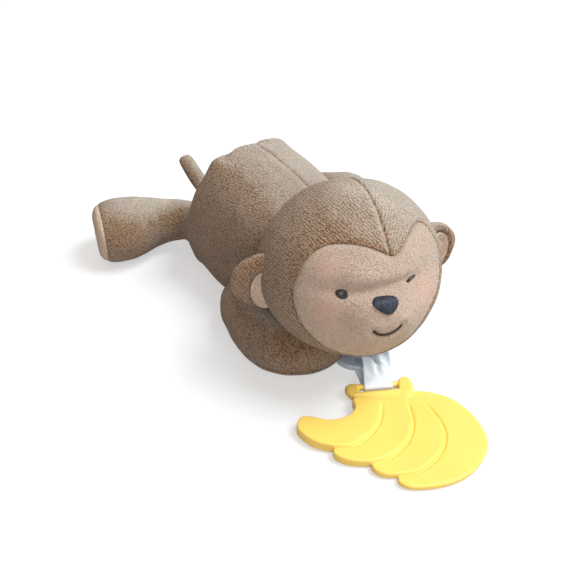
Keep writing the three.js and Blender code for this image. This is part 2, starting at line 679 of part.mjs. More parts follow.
function buildGovernor(group) {
  const axle = new THREE.Group();
  axle.position.set(0, governorY, governorZ);
  group.add(axle);
  const arbor = solid(rod(ARBOR_RADIUS, -PLATE_THICKNESS, plateSpan + PLATE_THICKNESS));
  const pinion = gear(GOVERNOR_TEETH, ARBOR_RADIUS / 2, secondStart, 180 - GOVERNOR_FALL, true);
  place(axle, "governor_arbor", arbor.add(solid(pinion)), brass);
  const bore = ARBOR_RADIUS + PIN_PLAY;
  const fanEnd = cylinderStart + FAN_LENGTH;
  const blade = point(0, FAN_RADIUS, FAN_BLADE / 2);
  const blades = box(point(cylinderStart, 0, 0).sub(blade), point(fanEnd, 0, 0).add(blade));
  const hub = ring(bore, bore + FAN_BLADE, cylinderStart, fanEnd);
  const hole = rod(bore, cylinderStart - 1, fanEnd + 1);
  place(axle, "governor_fan", solid(blades).subtract(solid(hole)).add(solid(hub)), whitePlastic);
}

// A round-headed screw that stands along Z, with the underside of its head at z = 0.
function screw(length) {
  const profile = [[0, -length], [SCREW_RADIUS, -length], [SCREW_RADIUS, 0], [SCREW_HEAD_RADIUS, 0],
    [SCREW_HEAD_RADIUS, SCREW_HEAD * 0.5], [SCREW_HEAD_RADIUS * 0.6, SCREW_HEAD], [0, SCREW_HEAD]];
  const points = profile.map(([radius, rise]) => new THREE.Vector2(radius, rise));
  return new THREE.LatheGeometry(points, 12).rotateX(Math.PI / 2);
}

// A screw's hole, right through whatever lies between two heights.
function screwHole(x, y, low, high) {
  const hole = new THREE.CylinderGeometry(SCREW_RADIUS + PIN_PLAY, SCREW_RADIUS + PIN_PLAY, high - low, 12);
  return solid(hole.rotateX(Math.PI / 2).translate(x, y, (low + high) / 2));
}

function buildComb(group) {
  const pitch = CYLINDER_LENGTH / COMB_TEETH;
  const slit = pitch * 0.38;
  const shape = new THREE.Shape();
  shape.moveTo(cylinderStart, blockBack);
  for (let i = 0; i < COMB_TEETH; i++) {
    const from = cylinderStart + i * pitch + slit / 2;
    const to = from + pitch - slit;
    shape.lineTo(from, blockFront).lineTo(from, cylinderY).lineTo(to, cylinderY).lineTo(to, blockFront);
  }
  shape.lineTo(cylinderEnd, blockBack);
  shape.closePath();
  let comb = solid(prism(shape, COMB_THICKNESS).translate(0, 0, combBottom));
  let block = solid(
    box(point(cylinderStart, blockFront, GAP - roomHalf), point(cylinderEnd, blockBack, combBottom - GAP)),
  );
  const screwY = (blockFront + blockBack) / 2;
  const top = combBottom + COMB_THICKNESS;
  const depth = COMB_BLOCK_DEPTH;
  ["left", "right"].forEach((name, i) => {
    const x = mix(cylinderStart, cylinderEnd, i ? 0.8 : 0.2);
    comb = comb.subtract(screwHole(x, screwY, combBottom - 1, top + 1));
    block = block.subtract(screwHole(x, screwY, combBottom - depth - GAP, combBottom));
    place(group, `comb_screw_${name}`, screw(depth).translate(x, screwY, top + GAP), steel);
  });
  place(group, "comb", comb, steel);
  place(group, "comb_block", block, steel);
}

function buildPlates(group) {
  const low = room.low.clone().addScalar(GAP);
  const high = room.high.clone().subScalar(GAP);
  const shape = outline([
    [low.y, low.z],
    [high.y, low.z],
    [high.y, combBottom],
    [cylinderY, high.z],
    [low.y, high.z],
  ]);
  const pivots = [
    [0, 0, DRUM_PIN_RADIUS],
    [cylinderY, 0, ARBOR_RADIUS],
    [governorY, governorZ, ARBOR_RADIUS],
  ];
  for (const [y, z, radius] of pivots) {
    shape.holes.push(new THREE.Path().absarc(y, z, radius + PIN_PLAY, 0, 2 * Math.PI, true));
  }
  place(group, "left_plate", extrudeAcross(shape, -PLATE_THICKNESS, 0), brass);
  place(group, "right_plate", extrudeAcross(shape, plateSpan, plateSpan + PLATE_THICKNESS), brass);
}

const LUG = 2 * (SCREW_HEAD_RADIUS + GAP);
const lugPlaces = [];
for (const x of [caseLow.x - LUG / 2, caseHigh.x + LUG / 2]) {
  for (const share of [0.45, 0.8]) lugPlaces.push([x, mix(caseLow.y, caseHigh.y, share)]);
}

// The case is split across the drum's axle. Lugs on its sides carry the screws.
function buildCase(group) {
  const half = (low, high, roomLow, roomHigh) => {
    let shell = solid(box(point(caseLow.x, caseLow.y, low), point(caseHigh.x, caseHigh.y, high)));
    for (const [x, y] of lugPlaces) {
      const lugLow = point(x - LUG / 2 - 1, y - LUG / 2, Math.max(low, -LUG));
      const lugHigh = point(x + LUG / 2 + 1, y + LUG / 2, Math.min(high, LUG));
      shell = shell.add(solid(box(lugLow, lugHigh))).subtract(screwHole(x, y, lugLow.z - 1, lugHigh.z + 1));
    }
    const inside = box(point(room.low.x, room.low.y, roomLow), point(room.high.x, room.high.y, roomHigh));
    return shell.subtract(solid(inside));
  };
  const outlet = rod(CORD_DIAMETER + GAP, caseLow.y - 1, room.low.y + 1).rotateZ(Math.PI / 2);
  const lower = half(GAP / 2, caseHigh.z, -FAR, room.high.z);
  outlet.translate(grooveMiddle, 0, cordDrop);
  place(group, "case_lower", lower.subtract(solid(outlet)), whitePlastic);
  place(group, "case_upper", half(caseLow.z, -GAP / 2, room.low.z, FAR), whitePlastic);
  lugPlaces.forEach(([x, y], i) => {
    place(group, `case_screw_${i + 1}`, screw(1.8 * LUG).translate(x, y, LUG + GAP), steel);
  });
  const bush = ring(CORD_DIAMETER / 2 + GAP, CORD_DIAMETER, caseLow.y - CASE_WALL, room.low.y);
  bush.rotateZ(Math.PI / 2).translate(grooveMiddle, 0, cordDrop);
  place(group, "cord_bush", bush, steel);
}

function buildMovement() {
  const group = new THREE.Group();
  group.position.copy(musicOrigin);
  group.rotation.y = Math.PI;
  buildCase(group);
  buildPlates(group);
  buildDrum(group);
  buildCylinder(group);
  buildGovernor(group);
  buildComb(group);
  return group;
}

// The room that the movement needs in the stuffing.
function movementPocket() {
  const low = caseLow.clone().subScalar(GAP);
  const high = caseHigh.clone().addScalar(GAP);
  low.y -= CASE_WALL;
  low.x -= LUG + 1;
  high.x += LUG + 1;
  return solid(box(low, high).rotateY(Math.PI).translate(...musicOrigin.toArray()));
}

// Ribbon, cord and teether

// The cord runs from under the drum, straight out of the case, and through the stuffing to the chest eyelet.
const cordStart = musicOrigin.clone().add(point(-grooveMiddle, 0, -cordDrop));
const caseFront = musicOrigin.y + caseLow.y - CASE_WALL;
const cordCurve = new THREE.CatmullRomCurve3([
  cordStart,
  point(cordStart.x, caseFront + 2.5 * CASE_WALL, cordStart.z),
  point(cordStart.x, caseFront - CORD_DIAMETER / 4, cordStart.z),
  point(cordStart.x, caseFront - 2 * CORD_DIAMETER, cordStart.z),
  eyelet.clone().addScaledVector(pullAxis, -2 * EYELET_LENGTH),
  eyelet.clone().addScaledVector(pullAxis, -0.75 * EYELET_LENGTH),
  eyelet.clone().addScaledVector(pullAxis, -0.5 * EYELET_LENGTH),
  eyelet.clone().addScaledVector(pullAxis, 0.5 * EYELET_LENGTH),
]);

// A round bar or ring on the cord's line at the chest.
function atEyelet(geometry) {
  return geometry.rotateZ(Math.atan2(pullAxis.y, pullAxis.x)).translate(...eyelet.toArray());
}

const barCentre = eyelet.clone().addScaledVector(pullAxis, EYELET_LENGTH / 2 + RIBBON_LENGTH).setZ(0);

// Teether and ribbon lie flat in a frame whose y axis points back to the chest.
function teetherFrame() {
  const group = new THREE.Group();
  group.position.copy(barCentre);
  group.rotation.z = radians(PULL_TURN);
  return group;
}

// Outlines of the four bananas, each hidden by the one before along its upper side.
const bananas = [
  [
    [-12.5, -9], [-12.9, -15.2], [-16.7, -19.6], [-25.2, -20.9], [-31.7, -18.4], [-36, -17.8], [-38.7, -22.5],
    [-34, -30.5], [-27, -34.6], [-19, -35.8], [-12.1, -32.4], [-6.3, -26.8], [-2.7, -19.5], [-1.9, -11],
  ],
  [
    [-6, -11], [-10, -24], [-18, -32], [-25.6, -35.5], [-25.6, -39], [-22, -42.2], [-15, -44.3],
    [-8, -44.3], [-2.8, -42.5], [4.7, -36.2], [9, -28.7], [10.5, -21.1], [8.8, -11],
  ],
  [
    [2, -11], [0, -31], [-5, -41], [-11.5, -44.5], [-11, -48.5], [-7, -51.3], [0, -52],
    [6.5, -51.2], [14.6, -45.5], [20.3, -38.1], [22.8, -31.5], [22.2, -22], [18.5, -11],
  ],
  [
    [8, -10], [12, -31], [4, -45], [-1.5, -51], [-2.4, -55], [0.5, -58], [6, -59], [15.5, -58.2],
    [24.7, -54.6], [32.2, -48], [37.5, -39.5], [37.4, -29.2], [33.8, -19.8], [29.6, -13.7], [23.6, -9.2],
    [15, -6.2],
  ],
];

function buildTeether() {
  const group = teetherFrame();
  const slab = (shape, low, high) => {
    return solid(prism(shape, high - low, 3).translate(0, 0, low));
  };
  const halfBar = BAR_LENGTH / 2;
  const halfSlot = SLOT_LENGTH / 2;
  const slotEnd = -BAR_RADIUS - SLOT_WIDTH;
  const stem = outline([
    [-halfBar, BAR_RADIUS],
    [-halfBar, slotEnd - STEM_WALL],
    [-halfBar + STEM_NECK, slotEnd - STEM_WALL - STEM_NECK],
    [-halfBar + STEM_NECK, -STEM_DEPTH],
    [halfBar, -STEM_DEPTH],
    [halfBar, BAR_RADIUS],
  ]);
  const slot = box(point(-halfSlot, slotEnd, 0), point(halfSlot, 2 * BAR_RADIUS, TEETHER_THICKNESS));
  let teether = slab(stem, BAR_RISE - STEM_THICKNESS / 2, BAR_RISE + STEM_THICKNESS / 2);
  bananas.forEach((places, i) => {
    const corners = places.map(([x, y]) => new THREE.Vector2(x, y));
    const shape = new THREE.Shape();
    shape.moveTo(corners[0].x, corners[0].y);
    shape.splineThru(corners.slice(1));
    shape.closePath();
    teether = teether.add(slab(shape, 0, TEETHER_THICKNESS - i * TEETHER_STEP));
  });
  const bar = rod(BAR_RADIUS, -halfSlot - BAR_RADIUS, halfSlot + BAR_RADIUS).translate(0, 0, BAR_RISE);
  place(group, "banana_teether", teether.subtract(solid(slot)).add(solid(bar)), yellowPlastic);
  return group;
}

// The ribbon is a flat loop round the stem bar. Its two legs are sewn together at the chest.
function buildRibbon() {
  const group = teetherFrame();
  const end = RIBBON_LENGTH - GAP;
  const seam = end - RIBBON_SEAM;
  const half = RIBBON_WIDTH / 2;
  const loop = (grow, reach, sides) => {
    const radius = BAR_RADIUS + GAP + grow;
    const shape = new THREE.Shape();
    shape.moveTo(reach, EYELET_HEIGHT + grow);
    shape.absarc(0, BAR_RISE, radius, Math.PI / 2, (3 * Math.PI) / 2, false);
    shape.lineTo(reach, EYELET_HEIGHT - grow);
    shape.closePath();
    return solid(extrudeAcross(shape, -sides, sides));
  };
  const inside = loop(RIBBON_THICKNESS / 100, seam - RIBBON_THICKNESS, half + RIBBON_THICKNESS);
  const legs = loop(RIBBON_THICKNESS, seam, half).subtract(inside);
  const sewn = box(
    point(-RIBBON_SEAM_WIDTH / 2, seam - RIBBON_THICKNESS, EYELET_HEIGHT - RIBBON_THICKNESS),
    point(RIBBON_SEAM_WIDTH / 2, end, EYELET_HEIGHT + RIBBON_THICKNESS),
  );
  place(group, "ribbon", legs.add(solid(sewn)), satin);
  return group;
}

// The whole toy

const monkey = new THREE.Group();
const torsoSeat = torsoForm(GAP);
const headSpace = headSweep(TURN_GAP);

const headRoom = (grow, detail) =>
  solid(headForm(grow, { muzzle: false, ...detail }).translate(...headCentre.toArray()));
let limbSeats = ball(tailRoot, TAIL_ROOT_RADIUS + TURN_GAP);
for (const { hand } of hands) {
  limbSeats = limbSeats.add(ball(shoulder(hand), SHOULDER_RADIUS + TURN_GAP));
  limbSeats = limbSeats.add(ball(hip(hand), HIP_RADIUS + TURN_GAP));
}
const eyeletHole = solid(atEyelet(rod(EYELET_RADIUS + GAP, -2 * EYELET_LENGTH, EYELET_LENGTH)));
const cordChannel = solid(tubeAlong(cordCurve, CORD_DIAMETER / 2 + GAP, 8, 24));

const torsoShell = torsoForm(0).subtract(torsoForm(-FABRIC, HIDDEN_TORSO));
const torsoCover = torsoShell.subtract(headRoom(TURN_GAP)).subtract(limbSeats).subtract(eyeletHole);
place(monkey, "torso_cover", torsoCover, plush);
const stuffing = torsoForm(-FABRIC - GAP, HIDDEN_TORSO)
  .subtract(headRoom(TURN_GAP + FABRIC, HIDDEN_HEAD))
  .subtract(limbSeats)
  .subtract(eyeletHole)
  .subtract(movementPocket())
  .subtract(cordChannel);
place(monkey, "torso_stuffing", stuffing, fibre);
const eyeletRing = ring(CORD_DIAMETER / 2 + GAP, EYELET_RADIUS, -EYELET_LENGTH / 2, EYELET_LENGTH / 2);
place(monkey, "chest_eyelet", atEyelet(eyeletRing), whitePlastic);
place(monkey, "pull_cord", tubeAlong(cordCurve, CORD_DIAMETER / 2, 8, 24), cordage);

for (const { name, hand } of hands) {
  buildArm(name, hand, torsoSeat, headSpace);
  buildLeg(name, hand, torsoSeat);
}
buildTail(torsoSeat);
monkey.add(buildHead(), buildMovement(), buildTeether(), buildRibbon());

export default monkey;
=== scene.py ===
"""Looks of a musical plush monkey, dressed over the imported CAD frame. Sizes below are millimetres."""

import json
import math
from collections import namedtuple

import bpy
import numpy as np
from mathutils import Matrix, Vector


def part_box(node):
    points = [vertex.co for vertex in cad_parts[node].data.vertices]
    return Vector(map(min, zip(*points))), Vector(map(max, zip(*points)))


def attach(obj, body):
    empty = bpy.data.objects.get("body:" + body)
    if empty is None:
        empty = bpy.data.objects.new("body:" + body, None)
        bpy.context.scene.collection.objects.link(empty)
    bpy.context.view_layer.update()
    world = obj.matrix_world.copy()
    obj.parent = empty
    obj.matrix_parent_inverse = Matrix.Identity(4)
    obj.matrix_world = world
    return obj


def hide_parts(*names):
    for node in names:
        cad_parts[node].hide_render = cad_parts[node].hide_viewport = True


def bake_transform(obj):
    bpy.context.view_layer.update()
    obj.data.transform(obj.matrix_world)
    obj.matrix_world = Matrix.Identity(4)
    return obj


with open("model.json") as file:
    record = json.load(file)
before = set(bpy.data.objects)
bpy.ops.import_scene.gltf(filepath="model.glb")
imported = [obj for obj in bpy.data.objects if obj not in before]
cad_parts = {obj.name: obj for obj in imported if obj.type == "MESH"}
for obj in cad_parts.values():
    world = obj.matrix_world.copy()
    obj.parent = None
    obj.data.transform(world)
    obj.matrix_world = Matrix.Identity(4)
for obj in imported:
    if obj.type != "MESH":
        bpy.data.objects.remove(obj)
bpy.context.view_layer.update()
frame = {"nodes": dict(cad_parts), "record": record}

MM = 0.001
FULL_TURN = 2 * math.pi
X, Y, Z = np.eye(3)


# Numbers and fields
def mix(a, b, t):
    return a + (b - a) * t


def smooth(low, high, value):
    """From 0 at low to 1 at high, softly."""
    t = np.clip((value - low) / (high - low), 0, 1)
    return t * t * (3 - 2 * t)


def hump(value, width):
    """1 at 0, falling away over a width."""
    return np.exp(-((value / width) ** 2))


def dome(share, power):
    """1 in the middle, and round down to 0 at a share of 1."""
    return np.sqrt(np.clip(1 - share**power, 0, 1))


def mound(x, y, tall, wide, high):
    return tall * hump(x, wide) * hump(y, high)


def sewn(apart, sink, width, puff=0.0, aside=0.0, spread=1.0):
    """Height near a seam: a furrow, and a puffed ridge aside of it."""
    return puff * hump(apart - aside, spread) - sink * hump(apart, width)


def unit(v):
    return v / np.linalg.norm(v, axis=-1, keepdims=True)


def rotated(v, axis, degrees):
    a = math.radians(degrees)
    v, axis = np.asarray(v), unit(axis)
    along = (v @ axis)[..., None] * axis
    return along + (v - along) * math.cos(a) + np.cross(axis, v) * math.sin(a)


def turns(count):
    """Angles evenly round a full turn."""
    return np.linspace(0, FULL_TURN, count, endpoint=False)


def waves(p, size, seed, count=14, least=1.2, most=2.4):
    """A smooth random field of about unit height, with lumps about size apart."""
    draw = np.random.default_rng(seed)
    field = np.zeros(p.shape[:-1])
    for _ in range(count):
        way = unit(draw.normal(size=3)) * (FULL_TURN / (size * draw.uniform(least, most)))
        field += np.sin(p @ way + draw.uniform(0, FULL_TURN))
    return field / math.sqrt(count)


def lumps(p, seed, big, apart, small, close):
    """Uneven stuffing, in big and small swells."""
    return big * waves(p, apart, seed) + small * waves(p, close, seed + 1)


# Meshes
def added(name, data):
    """A new object in the scene."""
    obj = bpy.data.objects.new(name, data)
    bpy.context.scene.collection.objects.link(obj)
    return obj


def piece(name, points, faces):
    """A smooth object, from points in millimetres."""
    mesh = bpy.data.meshes.new(name)
    mesh.from_pydata((np.asarray(points) * MM).tolist(), [], faces)
    mesh.polygons.foreach_set("use_smooth", [True] * len(mesh.polygons))
    mesh.update()
    return added(name, mesh)


def ring_faces(rows, around, closed=True):
    """Faces between rows of points, closed round a form or open."""
    faces = []
    for a in range(0, (rows - 1) * around, around):
        b = a + around
        for j in range(around if closed else around - 1):
            k = (j + 1) % around
            faces.append((a + j, b + j, b + k, a + k))
    return faces


def ring_piece(name, rings, start=True, end=True, flip=False):
    """A skin over rings, each end closed at its middle or at a given point, or open if False."""
    rows, around, _ = rings.shape
    points = rings.reshape(-1, 3).tolist()
    faces = ring_faces(rows, around)
    for pole, row in ((start, 0), (end, rows - 1)):
        if pole is False:
            continue
        top = len(points)
        points.append(list(rings[row].mean(0) if pole is True else pole))
        for j in range(around):
            a, b = row * around + j, row * around + (j + 1) % around
            faces.append((top, a, b) if row == 0 else (top, b, a))
    if flip:
        faces = [face[::-1] for face in faces]
    return piece(name, points, faces)


def capped(rings):
    """Points and faces of a solid over rings, with flat ends."""
    rows, around, _ = rings.shape
    faces = [face[::-1] for face in ring_faces(rows, around)]
    faces.append(tuple(range(around))[::-1])
    faces.append(tuple(range((rows - 1) * around, rows * around)))
    return rings.reshape(-1, 3), faces


def ring_normals(rings):
    """Ways out of a skin over rings."""
    down = np.gradient(rings, axis=0)
    turn = np.roll(rings, -1, 1) - np.roll(rings, 1, 1)
    normal = unit(np.cross(turn, down))
    middle = rings.mean(axis=1, keepdims=True)
    return normal if np.sum((rings - middle) * normal) > 0 else -normal


def baked(obj):
    """Makes the object's modifiers part of its mesh."""
    graph = bpy.context.evaluated_depsgraph_get()
    mesh = bpy.data.meshes.new_from_object(obj.evaluated_get(graph))
    obj.modifiers.clear()
    obj.data = mesh
    mesh.polygons.foreach_set("use_smooth", [True] * len(mesh.polygons))


def moved(obj, place):
    """Puts the object's points through a function."""
    flat = np.empty(len(obj.data.vertices) * 3)
    obj.data.vertices.foreach_get("co", flat)
    obj.data.vertices.foreach_set("co", (place(flat.reshape(-1, 3) / MM) * MM).ravel())
    obj.data.update()


def pressed(p, soft=0.8):
    """Points that lie flat where they would go below the floor."""
    q = p.copy()
    q[..., 2] = soft * np.logaddexp(0, p[..., 2] / soft)
    return q


# Curves and stuffed forms
SPAN_STEPS, SPINE_STEPS = 120, 600
CAP_SHARE, CAP_STEPS, SIDE_STEPS = 0.9, 300, 500
Form = namedtuple("Form", "rings share scale run turn spine")


def through(points, count):
    """Points evenly along a smooth curve through some points, with its tangents and length."""
    p = np.asarray(points, float)
    p = np.vstack([2 * p[0] - p[1], p, 2 * p[-1] - p[-2]])
    dense = []
    for i in range(1, len(p) - 2):
        a, b, c, d = p[i - 1 : i + 3]
        s, m, e = (np.linalg.norm(v) ** 0.5 for v in (b - a, c - b, d - c))
        t1 = ((b - a) / s - (c - a) / (s + m) + (c - b) / m) * m
        t2 = ((c - b) / m - (d - b) / (m + e) + (d - c) / e) * m
        t = np.linspace(0, 1, SPAN_STEPS, endpoint=i == len(p) - 3)[:, None]
        bend, twist = 3 * (c - b) - 2 * t1 - t2, 2 * (b - c) + t1 + t2
        dense.append(b + t1 * t + bend * t**2 + twist * t**3)
    dense = np.vstack(dense)
    run = np.concatenate([[0], np.cumsum(np.linalg.norm(np.diff(dense, axis=0), axis=1))])
    at = np.interp(np.linspace(0, run[-1], count), run, np.arange(len(run)))
    even = np.stack([np.interp(at, np.arange(len(run)), dense[:, k]) for k in range(3)], -1)
    return even, unit(np.gradient(even, axis=0)), run[-1]


def closed_line(points, count):
    """Points along a smooth closed outline through some points."""
    p = np.asarray(points, float)
    p = np.hstack([p, np.zeros((len(p), 1))])
    line = through(np.vstack([p[-2:], p, p[:3]]), count * 3)[0]
    gap = np.linalg.norm(line - p[0], axis=1)
    first = int(np.argmin(gap[: len(line) // 3]))
    last = len(line) // 2 + int(np.argmin(gap[len(line) // 2 :]))
    picks = np.linspace(first, last, count, endpoint=False).astype(int)
    return line[picks, :2]


def bezier(a, b, c, d, count=24):
    """Points of a curve from a to d that is drawn towards b and c."""
    t = np.linspace(0, 1, count)[:, None]
    shares = ((1 - t) ** 3, 3 * (1 - t) ** 2 * t, 3 * (1 - t) * t**2, t**3)
    return sum(share * np.array(p, float) for share, p in zip(shares, (a, b, c, d)))


def reach_of(line, centre, turn):
    """How far an outline lies from a centre, at turns from its first axis to its second."""
    away = np.asarray(line) - centre
    return np.interp(turn, np.arctan2(away[:, 1], away[:, 0]), np.hypot(*away.T), period=FULL_TURN)


def end_profile(start, end, length, radius, count):
    """Shares of a spine and scales of its sections, evenly along a form with blunt ends."""
    cap = np.linspace(0, CAP_SHARE, CAP_STEPS)
    shares, scales = [], []
    for blunt, near in ((start, True), (end, False)):
        side = np.linspace((1 - CAP_SHARE**blunt) ** (1 / blunt), 0, SIDE_STEPS)[1:]
        q = np.concatenate([(1 - cap**blunt) ** (1 / blunt), side])
        scale = np.concatenate([cap, (1 - side**blunt) ** (1 / blunt)])
        shares.append((1 - q) / 2 if near else ((1 + q) / 2)[::-1])
        scales.append(scale if near else scale[::-1])
    share, scale = np.concatenate(shares), np.concatenate(scales)
    step = np.hypot(np.diff(share) * length, np.diff(scale) * radius)
    run = np.concatenate([[0], np.cumsum(step)])
    even = np.linspace(0, run[-1], count)
    return np.interp(even, run, share), np.interp(even, run, scale), even


def stuffed(spine, wide, tall, count, around, start, end, power=2.0):
    """A stuffed form along a spine: its rings, and where they lie on it."""
    middle, along, length = through(spine, SPINE_STEPS)
    share, scale, run = (v[1:-1] for v in end_profile(start, end, length, wide(0.5), count + 2))
    steps = np.arange(SPINE_STEPS)
    pick = lambda a: np.stack([np.interp(share * steps[-1], steps, a[:, k]) for k in range(3)], -1)
    centre, way = pick(middle), unit(pick(along))
    side = unit(np.cross(way, Z))
    up = np.cross(side, way)
    turn = turns(around)
    rounded = lambda v: np.sign(v) * np.abs(v) ** (2 / power)
    across = (wide(share) * scale)[:, None] * rounded(np.cos(turn))
    upright = (tall(share) * scale)[:, None] * rounded(np.sin(turn))
    rings = centre[:, None] + side[:, None] * across[..., None] + up[:, None] * upright[..., None]
    return Form(rings, share, scale, run, turn, middle)


# Materials
class Nodes:
    """A node tree whose nodes are written as calls."""

    def __init__(self, tree):
        self.tree = tree

    def node(self, kind, settings=None, **inputs):
        """The outputs of a new node."""
        node = self.tree.nodes.new("ShaderNode" + kind)
        for key, value in (settings or {}).items():
            setattr(node, key, value)
        self.feed(node, **inputs)
        return node.outputs

    def feed(self, node, **inputs):
        """Sets or links inputs, by name with underscores for spaces, or by number, as in _0."""
        for key, value in inputs.items():
            socket = node.inputs[int(key[1:]) if key[0] == "_" else key.replace("_", " ")]
            if isinstance(value, bpy.types.NodeSocket):
                self.tree.links.new(value, socket)
            else:
                socket.default_value = (*value, 1) if socket.type == "RGBA" else value

    def math(self, operation, a, b=0.0, c=0.0):
        return self.node("Math", {"operation": operation}, _0=a, _1=b, _2=c)[0]

    def spread(self, value, low, high, to_low=0.0, to_high=1.0, shape="LINEAR"):
        """A value carried from one range to another."""
        ends = dict(_1=low, _2=high, _3=to_low, _4=to_high)
        return self.node("MapRange", {"interpolation_type": shape}, _0=value, **ends)[0]

    def blend(self, share, a, b):
        """Two colours mixed by a share of the second."""
        return self.node("Mix", {"data_type": "RGBA"}, _0=share, _6=a, _7=b)[2]

    def seen(self):
        """1 for rays from the camera, and 1 for those or mirrored ones."""
        path = self.node("LightPath")
        mirrored = self.math("MAXIMUM", path["Is Glossy Ray"], path["Is Transmission Ray"])
        return path["Is Camera Ray"], self.math("MAXIMUM", path["Is Camera Ray"], mirrored)


class Look(Nodes):
    """A material with textures by place."""

    def __init__(self, name):
        self.material = bpy.data.materials.new(name)
        self.material.use_nodes = True
        super().__init__(self.material.node_tree)
        self.surface = self.tree.nodes["Principled BSDF"]
        self.place = self.node("TexCoord")["Object"]

    def set(self, **inputs):
        """Sets values of the surface, and gives the material."""
        self.feed(self.surface, **inputs)
        return self.material

    def vector(self, operation, a, b, result="Vector"):
        return self.node("VectorMath", {"operation": operation}, _0=a, _1=b)[result]

    def dot(self, a, b):
        return self.vector("DOT_PRODUCT", a, tuple(b), "Value")

    def texture(self, kind, size, place, stretch, **inputs):
        """A texture whose features lie about size millimetres apart."""
        place = place or self.place
        if stretch:
            place = self.vector("MULTIPLY", place, stretch)
        return self.node(kind, Vector=place, Scale=1 / (size * MM), **inputs)

    def noise(self, size, detail=2.0, rough=0.5, stretch=None):
        inputs = dict(Detail=detail, Roughness=rough)
        return self.texture("TexNoise", size, None, stretch, **inputs)["Fac"]

    def tufts(self, size, random, place=None, stretch=None):
        """Rounded tufts: 1 at their tops and less in the gaps."""
        away = self.texture("TexVoronoi", size, place, stretch, Randomness=random)["Distance"]
        return self.math("SUBTRACT", 1.0, away)

    def mingled(self, first, second, share):
        """Two height fields mixed by a share of the first."""
        return self.math("MULTIPLY_ADD", first, share, self.math("MULTIPLY", second, 1 - share))

    def stripes(self, value, pitch):
        """Soft stripes between 0 and 1, a pitch in millimetres apart."""
        wave = self.math("SINE", self.math("MULTIPLY", value, FULL_TURN / (pitch * MM)))
        return self.math("MULTIPLY_ADD", wave, 0.5, 0.5)

    def near(self, centre, reach):
        """1 at a place and 0 from reach millimetres away."""
        away = self.vector("DISTANCE", self.place, tuple(np.asarray(centre) * MM), "Value")
        return self.spread(away, 0.0, reach * MM, 1.0, 0.0, "SMOOTHSTEP")

    def tinted(self, colour, spots):
        """A colour that goes over to other tones near some places."""
        for centre, reach, strength, tone in spots:
            colour = self.blend(self.math("MULTIPLY", self.near(centre, reach), strength), colour, tone)
        return colour

    def bump(self, height, distance):
        return self.node("Bump", Height=height, Distance=distance * MM)["Normal"]


def shaded(tone, *shares):
    """A colour times a share, or times a share for each of its channels."""
    return tuple(np.multiply(tone, shares))


# The paler brown is painted light, laid on where the pile faces up towards the lamps.
BROWN, BROWN_PAINTED_LIGHT = ((0.19, 0.107, 0.06), (0.5, 0.335, 0.22)), (0.74, 0.64, 0.535)
PEACH = (0.48, 0.345, 0.27), (0.78, 0.61, 0.5)
# The linings and soles wear lighter copies of the face fleece; the lightness is painted light, and the
# soles' copy is warmer too.
LINING_PAINTED_LIGHT, SOLE_TONE_AND_PAINTED_LIGHT = (1.28, 1.26, 1.25), (1.28, 1.25, 1.15)
PALE = (0.95, 0.97, 0.97)
BLUSH = (0.84, 0.5, 0.4)
# Each stitch has a dark thread tone and a lighter tone on its raised threads, which is a painted highlight.
NOSE_THREAD_AND_HIGHLIGHT = (0.012, 0.015, 0.026), (0.06, 0.07, 0.098)
EYE_THREAD_AND_HIGHLIGHT = (0.009, 0.008, 0.008), (0.035, 0.03, 0.028)
MOUTH_THREAD_AND_HIGHLIGHT = (0.03, 0.021, 0.016), (0.07, 0.05, 0.04)
EYE_GLINT = (0.11, 0.1, 0.09)
YELLOW = (0.9, 0.64, 0.145)
# The satin's cool blue near the chin and the darker satin of the ribbon's fold are painted shade.
SATIN_WHITE, SATIN_PAINTED_COOL_SHADE, SATIN_PAINTED_SHADE = (0.93, 0.93, 0.95), (0.67, 0.84, 1.0), (0.56, 0.6, 0.7)
SATIN_DULL, PLASTIC_DULL, METAL_DULL, FIBRE_DULL = (0.84, 0.92, 1.0), (0.97, 0.95, 0.9), 0.72, 0.8
CORD_WHITE, CASE_WHITE = (0.82, 0.79, 0.73), (0.8, 0.79, 0.75)
STEEL, BRASS = (0.55, 0.56, 0.58), (0.75, 0.55, 0.2)

# Pile: its patches, the range of its grain, and a paler tone where it faces up towards the light, which is
# painted light
PATCH_SIZE, PATCH_IN_GRAIN, PATCH_IN_PAINTED_LIGHT = 9, 0.12, 0.1
GRAIN_RANGE = (0.44, 0.74)
PAINTED_LIGHT_WAY = unit(np.array([0.5, -0.2, 1.0]))
PAINTED_LIGHT_RANGE, PAINTED_LIGHT_MOST, PAINTED_LIGHT_DARK = (0.7, 1.02), 0.78, 0.6
WALE_PITCH, WALE_SWAY, WALE_SHARE = 1.3, 2.5, 0.13


def pile(look, tones, height, depth, sheen, painted_light=None, spots=()):
    """Short pile: a two-tone grain, and a paler tone where it faces up towards the light, which is painted
    light.
    """
    patch = look.noise(PATCH_SIZE)
    grain = look.spread(look.math("MULTIPLY_ADD", patch, PATCH_IN_GRAIN, height), *GRAIN_RANGE)
    colour = look.blend(grain, *tones)
    # Painted light: the colour goes paler where the surface faces up towards the lamps.
    if painted_light:
        towards_light = look.dot(look.node("NewGeometry")["Normal"], PAINTED_LIGHT_WAY)
        uneven = look.math("MULTIPLY_ADD", patch, PATCH_IN_PAINTED_LIGHT, towards_light)
        lit_share = look.spread(uneven, *PAINTED_LIGHT_RANGE, 0.0, PAINTED_LIGHT_MOST)
        colour = look.blend(lit_share, colour, look.blend(grain, shaded(painted_light, PAINTED_LIGHT_DARK), painted_light))
    look.set(Base_Color=look.tinted(colour, spots), Roughness=0.95, Specular_IOR_Level=0.02)
    look.set(Sheen_Weight=sheen, Sheen_Roughness=0.28, Sheen_Tint=PALE)
    return look.set(Normal=look.bump(height, depth))


